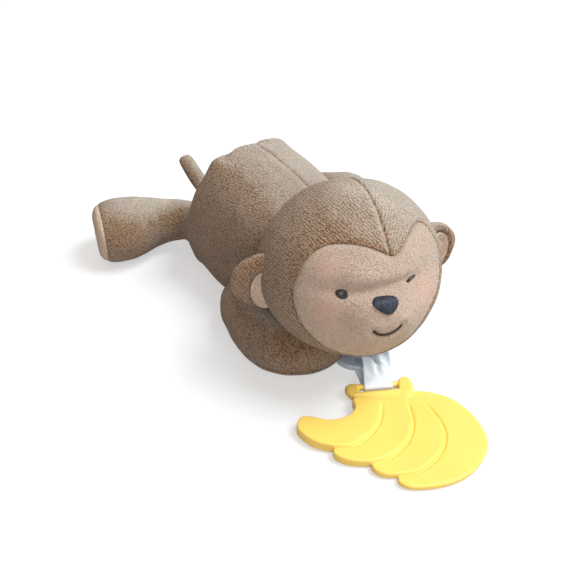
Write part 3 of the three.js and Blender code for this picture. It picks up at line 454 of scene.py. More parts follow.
def plush_look():
    look = Look("plush")
    height = look.mingled(look.tufts(0.72, random=1.0), look.noise(0.42, rough=0.6), share=0.5)
    return pile(look, BROWN, height, depth=1.8, sheen=0.45, painted_light=BROWN_PAINTED_LIGHT)


def waled_look(name, in_rows):
    """Plush with its tufts in rows, across which the first number of in_rows runs."""
    look = Look(name)
    place = in_rows(look)
    across = look.node("SeparateXYZ", Vector=place)[0]
    wale = look.stripes(look.math("MULTIPLY_ADD", look.noise(5), WALE_SWAY * MM, across), WALE_PITCH)
    tufts = look.tufts(1.0, random=0.75, place=place, stretch=(1.3, 1, 1))
    tufted = look.mingled(tufts, look.noise(0.45, rough=0.6), share=0.55)
    height = look.mingled(wale, tufted, WALE_SHARE)
    return pile(look, BROWN, height, depth=2.0, sheen=0.45, painted_light=BROWN_PAINTED_LIGHT)


def fleece_look(name, tone=(1, 1, 1), spots=()):
    look = Look(name)
    height = look.mingled(look.tufts(0.8, random=1.0), look.noise(0.5, 3, 0.65), share=0.3)
    return pile(look, [shaded(c, *tone) for c in PEACH], height, depth=1.7, sheen=0.35, spots=spots)


def thread_look(name, across, tones, spots=(), pitch=0.9, sway=0.7):
    """Satin stitch: fine parallel threads, as lines across a direction, lighter on the raised threads as a
    painted highlight.
    """
    look = Look(name)
    swayed = look.math("MULTIPLY_ADD", look.noise(1.6), sway * MM, look.dot(look.place, across))
    lift = look.stripes(swayed, pitch)
    share = look.math("MULTIPLY", lift, look.spread(look.noise(1.5, 3, 0.6), 0.38, 0.62))
    colour = look.tinted(look.blend(share, *tones), spots)
    look.set(Base_Color=colour, Roughness=0.45, Specular_IOR_Level=0.25)
    return look.set(Sheen_Weight=0.05, Sheen_Roughness=0.4, Normal=look.bump(lift, 0.12))


def satin_look(name, tone, spots=()):
    look = Look(name)
    weave = look.noise(0.35, stretch=(1, 1, 0.35))
    colour = look.blend(look.spread(look.noise(5), 0.4, 0.62), shaded(tone, *SATIN_DULL), tone)
    look.set(Base_Color=look.tinted(colour, spots), Roughness=0.36, Specular_IOR_Level=0.5)
    return look.set(Sheen_Weight=0.3, Sheen_Roughness=0.4, Normal=look.bump(weave, 0.08))


def plastic_look(name, tone, rough, skin=0.05, soft=0.0):
    look = Look(name)
    cloud = look.spread(look.noise(14), 0.3, 0.7)
    look.set(Base_Color=look.blend(cloud, shaded(tone, *PLASTIC_DULL), tone), Roughness=rough)
    look.set(Subsurface_Weight=soft, Subsurface_Radius=(0.004, 0.003, 0.001), Subsurface_Scale=0.5)
    return look.set(Specular_IOR_Level=0.4, Normal=look.bump(look.noise(0.6), skin))


def metal_look(name, tone, rough):
    look = Look(name)
    brushed = look.noise(0.5, 3, 0.6, stretch=(0.12, 1, 1))
    stain = look.spread(look.noise(5), 0.35, 0.7)
    look.set(Base_Color=look.blend(stain, tone, shaded(tone, METAL_DULL)), Metallic=1.0)
    look.set(Roughness=look.spread(brushed, 0.2, 0.8, rough, rough + 0.15))
    return look.set(Normal=look.bump(brushed, 0.02))


def fibre_look(name, tone, size):
    look = Look(name)
    strand = look.noise(size, 5, 0.75)
    look.set(Base_Color=look.blend(strand, shaded(tone, FIBRE_DULL), tone), Roughness=1.0)
    return look.set(Sheen_Weight=0.4, Normal=look.bump(strand, 0.5))


def wear(obj, material):
    obj.data.materials.clear()
    obj.data.materials.append(material)


def dress(obj, material, slot, body, *nodes, fill=None, span=None):
    """Gives a piece its material, bakes its placing into its mesh if it has a span or else sets it to ride
    on a body, and hides the CAD parts it replaces. The slot and fill are not used.
    """
    wear(obj, material)
    if span:
        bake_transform(obj)
    else:
        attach(obj, body)
    if nodes:
        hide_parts(*nodes)


# Places that the pieces share, as in the CAD
TORSO_BACK, TORSO_FRONT = 48.0, 40.0
SEAT_WIDTH, SEAT_HEIGHT = 68.0, 67.0
NECK_WIDTH, NECK_HEIGHT = 52.0, 44.0
TORSO_SWELL, BELLY_PRESS = 9.0, 5.0
FLOOR_PRESS = 1.2
HEAD_WIDTH, HEAD_HEIGHT = 81.0, 76.0
HEAD_CENTRE = np.array([-10.0, -50.0, 48.5])
HEAD_TURN, HEAD_ROLL, FACE_PITCH = -23.0, 3.0, 9.0
SHOULDER, SHOULDER_RADIUS = np.array([33.0, -2.0, 15.0]), 13.0
HIP, HIP_RADIUS, TAIL_ROOT = np.array([17.0, 48.0, 16.0]), 11.0, np.array([0.0, 48.0, 16.0])
PULL_TURN, RIBBON_REACH = -33.0, 52.0
PULL = rotated(-Y, Z, PULL_TURN)
EYELET = np.array([10.0, -36.5, 5.2])
BAR = EYELET + RIBBON_REACH * PULL
BAR_RISE, BAR_RADIUS = 2.7, 1.5
RIBBON_WIDTH = 12.7
HANDS = (("right", -1.0), ("left", 1.0))


# Torso: its seat as a section seen from behind, which leans a little and is gathered flat on top
SEAT_LINE = [
    (0, -3.8), (-13, -3.4), (-20.8, -0.3), (-26.6, 7.8), (-29.8, 17.2), (-31, 24), (-31, 31), (-29.8, 37.5),
    (-27, 45), (-22.6, 52.6), (-18.2, 59), (-14, 64), (-6, 64.8), (2, 64.4), (9, 64.4), (17, 63.6),
    (26.2, 60.2), (32, 53), (35, 43), (35.5, 32), (34, 22), (30, 12), (24, 4), (16, -1.5), (8, -3.5),
]
SEAT_BLUR, SEAT_CRISP, SEAT_FADE = 24.0, 0.16, (0.12, 0.75)
SEAT_DOME, SEAT_CAP, SEAT_RIM = 6.5, 0.03, 0.93
SEAM_ASIDE, SEAM_END = 9.0, 35.0
FOLD_PLACE, FOLD_BEND, FOLD_MIDDLE = TORSO_BACK - 4.2, 0.02, 2.0
GATHER_DEPTH, GATHER_RATE, GATHER_START = 0.12, 1.9, 0.6


def torso_form():
    """The torso's rings, from the seat's section to rounded squares."""
    low = lambda height: (height - BELLY_PRESS) / 2
    ends = ((TORSO_BACK, low(SEAT_HEIGHT)), (-TORSO_FRONT, low(NECK_HEIGHT)))
    spine = [(0, *mix(*np.array(ends), share)) for share in (0, 0.5, 1)]
    swell = lambda s: TORSO_SWELL * 4 * s * (1 - s)
    wide = lambda s: (mix(SEAT_WIDTH, NECK_WIDTH, s) + swell(s)) / 2
    tall = lambda s: (mix(SEAT_HEIGHT, NECK_HEIGHT, s) + swell(s) / 2 + BELLY_PRESS) / 2
    form = stuffed(spine, wide, tall, count=150, around=320, start=26, end=4, power=2.5)
    share, turn = form.share, form.turn
    crisp = reach_of(closed_line(SEAT_LINE, 400) * [-1, 1], (0, low(SEAT_HEIGHT)), turn)
    blur = hump(np.minimum(turn, FULL_TURN - turn), math.radians(SEAT_BLUR))
    round_off = np.real(np.fft.ifft(np.fft.fft(crisp) * np.fft.fft(blur / blur.sum())))
    reach = mix(crisp, round_off, smooth(0.0, SEAT_CRISP, share)[:, None])
    shrink = wide(share) / wide(0.0) * form.scale
    centre = form.rings.mean(axis=1, keepdims=True)
    seat = centre + unit(form.rings - centre) * (reach * shrink[:, None])[..., None]
    return form._replace(rings=mix(seat, form.rings, smooth(*SEAT_FADE, share)[:, None, None]))


def build_torso(plush):
    rings, share, scale, run, *_ = torso_form()
    normal = ring_normals(rings)
    cap = 1 - smooth(0.0, SEAT_CAP, share)
    rings[..., 1] += (SEAT_DOME * cap * (1 - scale**2))[:, None]
    x, y, z = np.moveaxis(rings, -1, 0)
    upper = smooth(25, 45, z)
    uneven = lumps(rings, seed=3, big=0.45, apart=26, small=0.18, close=9)
    rim = np.interp(SEAT_RIM, scale[: len(scale) // 2], run[: len(run) // 2])
    hem = sewn(run - rim, sink=0.9, width=1.0, puff=0.5, aside=3.2, spread=2.2)[:, None]
    beside = np.abs(x - SEAM_ASIDE)
    furrow = sewn(beside, sink=0.65, width=0.7) * (1 - smooth(SEAM_END, SEAM_END + 6, y))
    ridges = 0.25 * hump(beside - 2.8, 2.2) * (1 - smooth(SEAM_END, SEAM_END + 8, y))
    from_fold = y - FOLD_PLACE + FOLD_BEND * (x - FOLD_MIDDLE) ** 2
    fold_span = smooth(-15, -1, x) * (1 - smooth(5, 18, x))
    lip = 0.6 * hump(from_fold + 2.8, 2.2)
    fold = (sewn(from_fold, sink=1.8, width=1.2, puff=0.3, aside=2.6, spread=1.8) + lip) * fold_span
    gather = mound(from_fold, x - 4, GATHER_DEPTH, 7, 13) * np.sin(x * GATHER_RATE + GATHER_START)
    move = uneven + hem + (furrow + ridges + fold + gather) * upper
    torso = ring_piece("torso", pressed(rings + normal * move[..., None]))
    dress(torso, plush, "plush", "torso", "torso_cover", "torso_stuffing", fill=0.85)


# Head, in its own frame round its centre
FACE_OUT = rotated(-Y, X, -FACE_PITCH)
FACE_UP = rotated(np.cross(FACE_OUT, X), FACE_OUT, -HEAD_ROLL)
FACE_SIDE = np.cross(FACE_UP, FACE_OUT)
SIDE_IN_WORLD, UP_IN_WORLD = rotated([FACE_SIDE, FACE_UP], Z, HEAD_TURN)
MUZZLE_OUT, MUZZLE_TALL, MUZZLE_SPREAD = rotated(FACE_OUT, FACE_SIDE, 14), 5.0, 34
CROWN_OUT, CROWN_TALL, CROWN_SPREAD = unit(0.5 * FACE_SIDE + 0.75 * FACE_UP - 0.35 * FACE_OUT), 0.5, 38
BROW_HEIGHT, BROW_TILT = 9.2, 0.05
EYES = ((-16.5, 7.2, 2.3, 1.38, 6), (13.6, 9.4, 2.45, 0.62, 22))
SOCKET_DEPTH, SOCKET_FLAT, SOCKET_WIDE = 1.0, 1.2, 5.0
MOUTH_HALF, MOUTH_SAG, MOUTH_DROP, MOUTH_TILT, MOUTH_ASIDE = 6.0, 3.7, 9.6, 0.12, 0.4
PANEL_LINE = [
    (4.2, 20.8), (-0.6, 22.9), (-5.7, 24.6), (-11.7, 25.4), (-18, 24.8), (-24.4, 21.4), (-28.8, 16.6),
    (-31.2, 11.2), (-32.8, 6.9), (-33.3, 2.1), (-32.6, -4.1), (-29.2, -12.4), (-22.6, -20), (-14.4, -24.8),
    (-5.4, -26), (3.2, -23.6), (11.2, -19), (18, -13.6), (23.4, -8), (27.4, -2.2), (30, 3.4), (31.6, 9.2),
    (31.6, 15.8), (29, 21.5), (24.8, 25.9), (19.8, 27.2), (15, 25.7), (11.2, 23.3), (8, 21.3),
]
PANEL_REACH, SKIN_REACH = 42.0, 40.0
GUESS, STEP, ROUNDS = (44, 42), (46, 44), 12
AROUND = 640
CREST_ASIDE = 4.0
TUCK = np.array([3.0, 2.0, 1.0])[:, None, None]
BLUSH_SPOTS = ((-23, 0.5, 13, 0.5), (21, 3, 13, 0.5), (-21, 17, 12, 0.4))
ROW_WAY = unit(np.array([0.79, -0.21, -0.57]))
ROW_SIDE = unit(np.cross(ROW_WAY, Y))
ROW_AXES = {"X": ROW_WAY, "Y": ROW_SIDE, "Z": np.cross(ROW_WAY, ROW_SIDE)}


def in_world(p):
    return rotated(p, Z, HEAD_TURN) + HEAD_CENTRE


def mouth_line(count=60):
    """Points of the smile on the flat face: an arc, a little tilted."""
    radius = (MOUTH_HALF**2 + MOUTH_SAG**2) / (2 * MOUTH_SAG)
    swing = math.asin(MOUTH_HALF / radius)
    t = np.linspace(-swing, swing, count)
    x = radius * np.sin(t)
    return np.stack([x + MOUTH_ASIDE, radius - MOUTH_DROP - radius * np.cos(t) + MOUTH_TILT * x], -1)


def swollen(out, way, degrees):
    """1 towards a way and less at an angle from it."""
    return hump(np.degrees(np.arccos(np.clip(out @ way, -1, 1))), degrees)


def head_skin(out):
    """Places on the head for directions in its own frame."""
    p = out * np.array([HEAD_WIDTH, HEAD_WIDTH, HEAD_HEIGHT]) / 2
    p = p + (MUZZLE_TALL * swollen(out, MUZZLE_OUT, MUZZLE_SPREAD))[..., None] * MUZZLE_OUT
    x, y, front = p @ FACE_SIDE, p @ FACE_UP, smooth(0.2, 0.5, out @ FACE_OUT)
    above = y - BROW_HEIGHT - BROW_TILT * x
    crease = np.where(above > 0, 3.0, 2.0)
    brow = sewn(above, sink=4.4, width=crease, puff=1.1, aside=8, spread=5) * hump(x + 2, 18)
    muzzle = mound(x, y - 0.5, tall=2.1, wide=18, high=8)
    jowls = mound(np.abs(x) - 9, y + 8, tall=0.5, wide=7, high=8)
    sockets = sum(hump(np.hypot(x - ex, (y - ey) * SOCKET_FLAT), SOCKET_WIDE) for ex, ey, *_ in EYES)
    lip = mouth_line()
    gap = np.min(np.hypot(x[..., None] - lip[:, 0], y[..., None] - lip[:, 1]), axis=-1)
    smile = sewn(gap, sink=0.9, width=1.7, puff=0.35, aside=3.2, spread=2.2)
    features = (brow + muzzle + jowls - SOCKET_DEPTH * sockets + smile) * front
    uneven = lumps(p, seed=11, big=0.32, apart=24, small=0.1, close=8)
    crown = CROWN_TALL * swollen(out, CROWN_OUT, CROWN_SPREAD)
    return p + out * (features + uneven + crown)[..., None]


def face_point(x, y, lift=0.0):
    """Places on the face over flat points, lifted off it."""
    x, y = np.asarray(x, float), np.asarray(y, float)
    across, up = x / GUESS[0], y / GUESS[1]
    for _ in range(ROUNDS):
        deep = np.sqrt(np.maximum(1 - across**2 - up**2, 0.02))
        out = unit(across[..., None] * FACE_SIDE + up[..., None] * FACE_UP + deep[..., None] * FACE_OUT)
        p = head_skin(out)
        across = across + (x - p @ FACE_SIDE) / STEP[0]
        up = up + (y - p @ FACE_UP) / STEP[1]
    return p + out * np.asarray(lift)[..., None]


def face_directions(phi, theta):
    """Directions at phi from the face's middle, turned by theta from its upright."""
    flat = np.sin(theta)[..., None] * FACE_SIDE + np.cos(theta)[..., None] * FACE_UP
    return np.cos(phi)[..., None] * FACE_OUT + np.sin(phi)[..., None] * flat


def panel_edge():
    """Even turns round the face's middle, and the angle to the panel's edge at each."""
    theta = turns(AROUND)
    reach = reach_of(closed_line(PANEL_LINE, 800)[:, ::-1], (0, 0), theta)
    phi = np.arcsin(np.clip(reach / PANEL_REACH, 0, 0.98))
    for _ in range(ROUNDS):
        p = head_skin(face_directions(phi, theta))
        phi = phi + (reach - np.hypot(p @ FACE_SIDE, p @ FACE_UP)) / PANEL_REACH
    return theta, phi


def head_rows(look):
    """A place that runs first across the rows of the pile, alike on both sides of the crest."""
    spin = dict(Vector=look.place, Center=tuple(HEAD_CENTRE * MM), Angle=-math.radians(HEAD_TURN))
    own = look.node("VectorRotate", {"rotation_type": "Z_AXIS"}, **spin)[0]
    shifted = look.vector("SUBTRACT", own, tuple((HEAD_CENTRE + CREST_ASIDE * X) * MM))
    x, y, z = look.node("SeparateXYZ", Vector=shifted)
    halved = look.node("CombineXYZ", X=look.math("ABSOLUTE", x), Y=y, Z=z)[0]
    place = {axis: look.dot(halved, way) for axis, way in ROW_AXES.items()}
    return look.node("CombineXYZ", **place)[0]


def build_head(waled, theta, edge):
    share = np.linspace(0, 1, 120)[:, None] ** 0.92
    phi = edge + share * (math.pi - 0.004 - edge)
    out = face_directions(phi, theta)
    p = head_skin(out)
    hem = sewn((phi - edge) * SKIN_REACH, sink=0.5, width=0.9, puff=0.12, aside=3, spread=2)
    beside = np.abs(p @ FACE_SIDE - CREST_ASIDE)
    crest = sewn(beside, sink=0.55, width=0.6, puff=0.2, aside=2.0, spread=1.6)
    p = p + out * (hem + crest * smooth(-0.5, 0.1, out @ FACE_UP))[..., None]
    tuck = p[0] - out[0] * TUCK
    head = ring_piece("head", in_world(np.concatenate([tuck, p])), start=False)
    dress(head, waled, "plush", "head", "head_cover", "head_stuffing", fill=0.95)


def build_panel(theta, edge):
    phi = np.linspace(0, 1, 110)[1:, None] * edge
    out = face_directions(phi, theta)
    puff = sewn((edge - phi) * SKIN_REACH, sink=0.6, width=1.0, puff=0.35, aside=3, spread=2.2)
    p = head_skin(out) + out * puff[..., None]
    tuck = p[-1] - out[-1] * TUCK[::-1]
    panel = ring_piece("face", in_world(np.concatenate([p, tuck])), end=False)
    spots = [(in_world(face_point(x, y)), *reach_and_share, BLUSH) for x, y, *reach_and_share in BLUSH_SPOTS]
    dress(panel, fleece_look("face_fleece", spots=spots), "face_plush", "head", "face_panel", fill=0.95)


# Embroidery
STITCH_LIFT, STITCH_TUCK, STITCH_ROUND = 0.05, (-0.4, -1.0), 3.2
EYE_TALL, GLINT_RISE, GLINT_REACH, EYE_PITCH = 0.75, 0.8, 1.5, 0.6
NOSE_HALF, NOSE_TOP, NOSE_TIP, NOSE_TALL, NOSE_ASIDE, NOSE_LEAN = 5.5, 7.2, 0.8, 1.3, -1.0, 1.2
MOUTH_STEPS, MOUTH_THICK, MOUTH_TALL, MOUTH_LIFT, MOUTH_COARSE = 90, 0.62, 0.6, 0.15, 0.8


def stitched(name, outline, node, height, look, rows):
    """A raised patch of embroidery on the face, over an outline."""
    middle = outline.mean(0)
    share = np.concatenate([np.linspace(0, 1, rows)[1:], np.ones(len(STITCH_TUCK))])
    flat = middle + share[:, None, None] * (outline - middle)
    lift = height * dome(share, STITCH_ROUND) + STITCH_LIFT
    lift[-len(STITCH_TUCK) :] = STITCH_TUCK
    rings = face_point(flat[..., 0], flat[..., 1], np.broadcast_to(lift[:, None], flat.shape[:2]))
    top = face_point(*middle, height + STITCH_LIFT)
    patch = ring_piece(name, in_world(rings), start=in_world(top), end=False)
    dress(patch, look, "thread", "head", node)


def build_eye(name, x, y, long, short, lean):
    turn = turns(56)
    c, s = math.cos(math.radians(lean)), math.sin(math.radians(lean))
    oval = np.stack([long * np.cos(turn), short * np.sin(turn)], -1) @ [(c, s), (-s, c)] + (x, y)
    glint = (in_world(face_point(x, y, GLINT_RISE)), GLINT_REACH, 1.0, EYE_GLINT)
    look = thread_look(f"{name}_eye_thread", UP_IN_WORLD, EYE_THREAD_AND_HIGHLIGHT, [glint], EYE_PITCH)
    stitched(f"{name}_eye_stitch", oval[::-1], f"{name}_eye", EYE_TALL, look, rows=10)


def build_nose():
    level = lambda share: mix(NOSE_TOP, NOSE_TIP, share)
    wing = (NOSE_HALF, level(0.3))
    over = bezier((0, NOSE_TOP), (0.75 * NOSE_HALF, NOSE_TOP), (NOSE_HALF, level(0.06)), wing)
    under = bezier(wing, (NOSE_HALF, level(0.5)), (0.42 * NOSE_HALF, level(0.97)), (0, NOSE_TIP))
    right = np.vstack([over[:-1], under[:-1]])
    outline = np.vstack([right, (right[1:] * [-1, 1])[::-1]])
    down = (NOSE_TOP - outline[:, 1]) / (NOSE_TOP - NOSE_TIP)
    outline[:, 0] += NOSE_ASIDE + NOSE_LEAN * down**2
    look = thread_look("nose_thread", SIDE_IN_WORLD, NOSE_THREAD_AND_HIGHLIGHT)
    stitched("nose_stitch", outline, "nose", NOSE_TALL, look, rows=18)


def build_mouth():
    line = mouth_line(MOUTH_STEPS)
    way = unit(np.gradient(line, axis=0))
    across = np.stack([-way[:, 1], way[:, 0]], -1)
    share = np.linspace(-1, 1, MOUTH_STEPS)
    thick = MOUTH_THICK + 0.28 * smooth(-0.7, -1.0, share) + 0.05 * np.sin(share * 60)
    ends = dome(np.abs(share), 14)
    section = turns(14)
    flat = line[:, None] + across[:, None] * (np.cos(section) * (thick * ends)[:, None])[..., None]
    lift = MOUTH_LIFT + np.sin(section) * (MOUTH_TALL * ends)[:, None]
    mouth = ring_piece("mouth_stitch", in_world(face_point(flat[..., 0], flat[..., 1], lift)))
    look = thread_look("mouth_thread", SIDE_IN_WORLD * MOUTH_COARSE, MOUTH_THREAD_AND_HIGHLIGHT)
    dress(mouth, look, "thread", "head", "mouth")


# Ears: padded ovals half tucked against the head, with a lining let into the front
EAR_WIDE, EAR_HALF, EAR_BACK = 14.2, 13.8, 3.6
EAR_RIM, EAR_DISH, EAR_CURL, EAR_FOLD = 5.2, 2.4, 0.017, 24.0
EAR_SEATS = {"right": (-38.6, 2.5, -3.0), "left": (39.2, 4.0, 0.3)}
LINING_WIDE, LINING_HALF = 5.8, 9.4
LINING_SHIFTS = {"right": (-0.8, -3.0), "left": (2.4, 0.0)}
LINING_PUFF, LINING_HEM, LINING_TUCK = 0.55, 0.5, (0.6, 1.4)


def oval(wide, high, share):
    """Upright flat rings of an oval, at shares of its size."""
    turn = turns(140)
    return share[:, None, None] * np.stack([wide * np.cos(turn), 0 * turn, high * np.sin(turn)], -1)


def ear_depth(reach):
    """How far an ear's front stands out, from its dish to its rim."""
    return mix(EAR_DISH, EAR_RIM, smooth(0.6, 1.35, reach))


def curled(p):
    """Points of an ear bent forward away from the head."""
    return p - (EAR_CURL * np.clip(p[..., 0], 0, None) ** 2)[..., None] * Y


def build_ear(name, hand, waled):
    aside, sink = LINING_SHIFTS[name]

    def on_head(p):
        q = rotated(p * [hand, 1, 1], Z, EAR_FOLD * hand) + EAR_SEATS[name]
        return in_world(rotated(q, Y, HEAD_ROLL))

    flat = np.linspace(0, 1, 46)[1:]
    front = oval(EAR_WIDE, EAR_HALF, flat)
    reach = np.hypot((front[..., 0] - aside) / LINING_WIDE, (front[..., 2] - sink) / LINING_HALF)
    rounding = dome(flat[:, None], 3.4)
    rolls = 0.4 * np.sin((reach - 1.2) * 8) * smooth(1.15, 1.4, reach)
    front[..., 1] = 0.9 * hump(reach - 1.0, 0.13) - (ear_depth(reach) + rolls) * rounding
    behind = flat[-2::-1]
    back = oval(EAR_WIDE, EAR_HALF, behind)
    back[..., 1] = EAR_BACK * dome(behind[:, None], 3)
    rings = curled(np.concatenate([front, back]))
    rings += (0.35 * waves(rings, 9, 21 + int(hand)))[..., None] * [0.4, 1, 0.4]
    flap = ring_piece(f"{name}_ear_flap", on_head(rings), flip=hand < 0)
    dress(flap, waled, "plush", "head", f"{name}_ear", fill=0.6)
    share = np.concatenate([np.linspace(0, 1, 20)[1:], np.ones(len(LINING_TUCK))])
    lining = oval(LINING_WIDE, LINING_HALF, share) + [aside, 0, sink]
    height = ear_depth(share) + LINING_PUFF - LINING_HEM * smooth(0.8, 1.0, share)
    height[-len(LINING_TUCK) :] -= LINING_TUCK
    lining[..., 1] = -height[:, None]
    pad = ring_piece(f"{name}_lining", on_head(curled(lining)), end=False, flip=hand < 0)
    # The lining wears a lighter copy of the face fleece, which is painted light.
    look = fleece_look(f"{name}_lit_lining_fleece", LINING_PAINTED_LIGHT)
    dress(pad, look, "face_plush", "head", f"{name}_ear_lining")


# Arms, drawn for the left side
ARM_THIN, ARM_THICK, ARM_SEAM_TURN = 11.5, 13.0, 114.0
ARM_DROP = ARM_THICK - FLOOR_PRESS - SHOULDER[2]
ARM_LINE = SHOULDER + [
    (0, SHOULDER_RADIUS * 0.6, 0), (6.8, -10.12, ARM_DROP * 0.6), (9.2, -25.3, ARM_DROP),
    (4.2, -41.4, ARM_DROP), (-18.5, -48.5, ARM_DROP),
]


def build_arm(name, hand, plush):
    root = SHOULDER * [hand, 1, 1]
    thick = lambda s: mix(ARM_THIN, ARM_THICK, smooth(0.2, 0.8, s))
    form = stuffed(ARM_LINE * [hand, 1, 1], thick, thick, count=130, around=160, start=3, end=4)
    uneven = lumps(form.rings, seed=31, big=0.4, apart=20, small=0.15, close=7)
    low = math.radians(90 + ARM_SEAM_TURN * hand)
    apart = np.abs((form.turn - low + math.pi) % FULL_TURN - math.pi) * ARM_THICK
    seam = sewn(apart, sink=1.7, width=0.9, puff=0.45, aside=2.4, spread=1.6)
    move = uneven + seam * smooth(0.12, 0.3, form.share)[:, None]
    arm = ring_piece(f"{name}_arm_cover", pressed(form.rings + ring_normals(form.rings) * move[..., None]))
    span = (root + 4 * Y, root - 14 * Y)
    dress(arm, plush, "plush", f"{name}_arm", f"{name}_arm", fill=0.85, span=span)


# Legs, drawn for the left side from the hip, before each is swung and lowered
LEG_THIN, LEG_THICK, LEG_GROWS = np.array([9.6, 10.4]), np.array([18.4, 16.5]), (0.34, 0.88)
FOOT_RISE = LEG_THICK[1] - FLOOR_PRESS - HIP[2]
LEG_LINE = np.array([
    (0, -HIP_RADIUS * 0.8, 0), (-1.5, 9, -0.8), (-0.5, 22, -1.6), (13.5, 31.5, -1.8),
    (30.5, 34.5, FOOT_RISE), (44.5, 40.2, FOOT_RISE),
])
LEG_POSES = {"right": (0.0, 0.0), "left": (-70.0, 2.0)}
SOLE_EDGE, SOLE_TUCKS, SOLE_SLANT = 0.88, (1.0, 2.2), 0.2


def build_leg(name, hand, plush, fleece):
    root = HIP * [hand, 1, 1]
    swing, drop = LEG_POSES[name]
    spine = rotated((LEG_LINE - drop * Z) * [hand, 1, 1], Z, swing) + root
    wide, tall = (lambda s, k=k: mix(LEG_THIN[k], LEG_THICK[k], smooth(*LEG_GROWS, s)) for k in (0, 1))
    form = stuffed(spine, wide, tall, count=150, around=120, start=3, end=6)
    normal = ring_normals(form.rings)
    cut = int(np.argmax((form.share > 0.5) & (form.scale < SOLE_EDGE)))
    uneven = lumps(form.rings, seed=41, big=0.4, apart=20, small=0.14, close=7)
    hem = sewn(form.run - form.run[cut], sink=0.3, width=0.7)[:, None]
    rings = pressed(form.rings + normal * (uneven + hem)[..., None])
    along = unit(form.spine[-1] - form.spine[-8])
    tuck = lambda way: [rings[cut] + (SOLE_SLANT * way - normal[cut]) * deep for deep in SOLE_TUCKS]
    leg = ring_piece(f"{name}_leg_cover", np.concatenate([rings[: cut + 1], tuck(along)]), end=False)
    reach = rotated(Y, Z, swing)
    span = (root - 5 * reach, root + 13 * reach)
    dress(leg, plush, "plush", f"{name}_leg", f"{name}_leg", fill=0.85, span=span)
    sole_rings = np.concatenate([tuck(-along)[::-1], rings[cut:]])
    sole = ring_piece(f"{name}_sole_pad", sole_rings, start=False)
    dress(sole, fleece, "face_plush", f"{name}_leg", f"{name}_sole", fill=0.8)


# Tail
TAIL_WIDE, TAIL_TALL, TAIL_GIRTH = 4.5, 3.3, 3.4
TAIL_ASIDE, TAIL_LONG, TAIL_LIFT, TAIL_RISE = 3.2, 50.0, 1.5, 15.8


def build_tail(plush):
    shares = (-0.1, 0.3, 0.65, 1.0)
    spine = [TAIL_ROOT + (TAIL_ASIDE * s, TAIL_LONG * s, TAIL_LIFT + TAIL_RISE * s * s) for s in shares]
    form = stuffed(spine, lambda s: TAIL_WIDE, lambda s: TAIL_TALL, count=90, around=64, start=6, end=7)
    turn = form.turn
    beside = np.minimum(np.abs(turn - math.pi), np.minimum(turn, FULL_TURN - turn)) * TAIL_GIRTH
    move = 0.16 * waves(form.rings, 9, 51) + sewn(beside, sink=0.4, width=0.6)
    tail = ring_piece("tail_cover", form.rings + ring_normals(form.rings) * move[..., None])
    span = (TAIL_ROOT - Y, TAIL_ROOT + 8 * Y)
    dress(tail, plush, "plush", "tail", "tail", fill=0.7, span=span)


# Teether, in a frame whose y axis points back to the chest
BANANAS = [
    [(-12.8, -8.6), (-13.2, -14.6), (-17, -18.8), (-25.2, -20), (-31.7, -17.6), (-36.6, -17), (-39.5, -22.5),
     (-34.4, -30.8), (-27, -34.8), (-19, -35.9), (-12.1, -32.4), (-6.3, -26.8), (-2.7, -19.5), (-1.9, -11)],
    [(-6, -11), (-10, -24), (-18, -32), (-25.8, -35.5), (-25.8, -39), (-22, -42.3), (-15, -44.4),
     (-8, -44.3), (-2.8, -42.5), (4.7, -36.2), (9, -28.7), (10.5, -21.1), (8.8, -11)],
    [(2, -11), (0, -31), (-5, -41), (-11.6, -44.5), (-11, -48.5), (-7, -51.4), (0, -52),
     (6.5, -51.2), (14.6, -45.8), (20, -39), (22.4, -31.5), (21.2, -21.5), (15.5, -11)],
    [(8, -10), (12, -31), (4, -45), (-1.5, -51), (-2.4, -55), (0.5, -58), (6, -59.2), (15.8, -58.8),
     (25.6, -55.6), (33.6, -49), (39.2, -40), (39.4, -29), (36, -18.9), (31.4, -12.2), (24.6, -7.4),
     (15, -5)],
]
BANANA_TOPS, BANANA_LOW, BANANA_EDGE, BANANA_STEPS = (5.5, 4.6, 3.7, 2.9), 0.25, 0.9, 220
LEFT_POST = [
    (-14.6, 0.4), (-15, -2.4), (-13.9, -5.2), (-12.4, -6.8), (-9, -7.2), (-8.7, -3), (-8.7, 0.9),
    (-11.5, 1.7),
]
RIGHT_POST = [
    (9.0, -7.2), (14.6, -7.4), (15.4, -4.2), (15.3, 0.2), (14.2, 2.8), (11.9, 3.3), (9.9, 2.0), (8.9, -0.4),
]
COLLAR = [
    (-12.4, -6.4), (-12.0, -9.5), (-10.5, -13), (0, -14), (9, -11.6), (13.6, -8.4), (13.8, -5.2), (9, -4.2),
    (0, -4.2), (-9, -4.2),
]
BAR_HALF, BAR_EASE = 11.0, 0.05
GROOVE_DEPTH, GROOVE_ASIDE, GROOVE_WIDE, GROOVE_FADE = 0.75, 0.55, 0.5, (-12, -17)
GROOVE_FROM, GROOVE_UNDER, GROOVE_INSIDE, BATCHES = 1.9, 0.3, -0.3, 40
VOXEL, SOFT_SHARE, SOFT_ROUNDS = 0.27, 0.5, 4


def from_bar(p):
    return rotated(p, Z, PULL_TURN) + BAR * [1, 1, 0]


def with_inward(line):
    """An outline with its inside on the left, and the ways inward."""
    x, y = line.T
    if np.sum(x * np.roll(y, -1) - y * np.roll(x, -1)) < 0:
        line = line[::-1]
    way = unit(np.roll(line, -1, 0) - np.roll(line, 1, 0))
    return line, np.stack([-way[:, 1], way[:, 0]], -1)


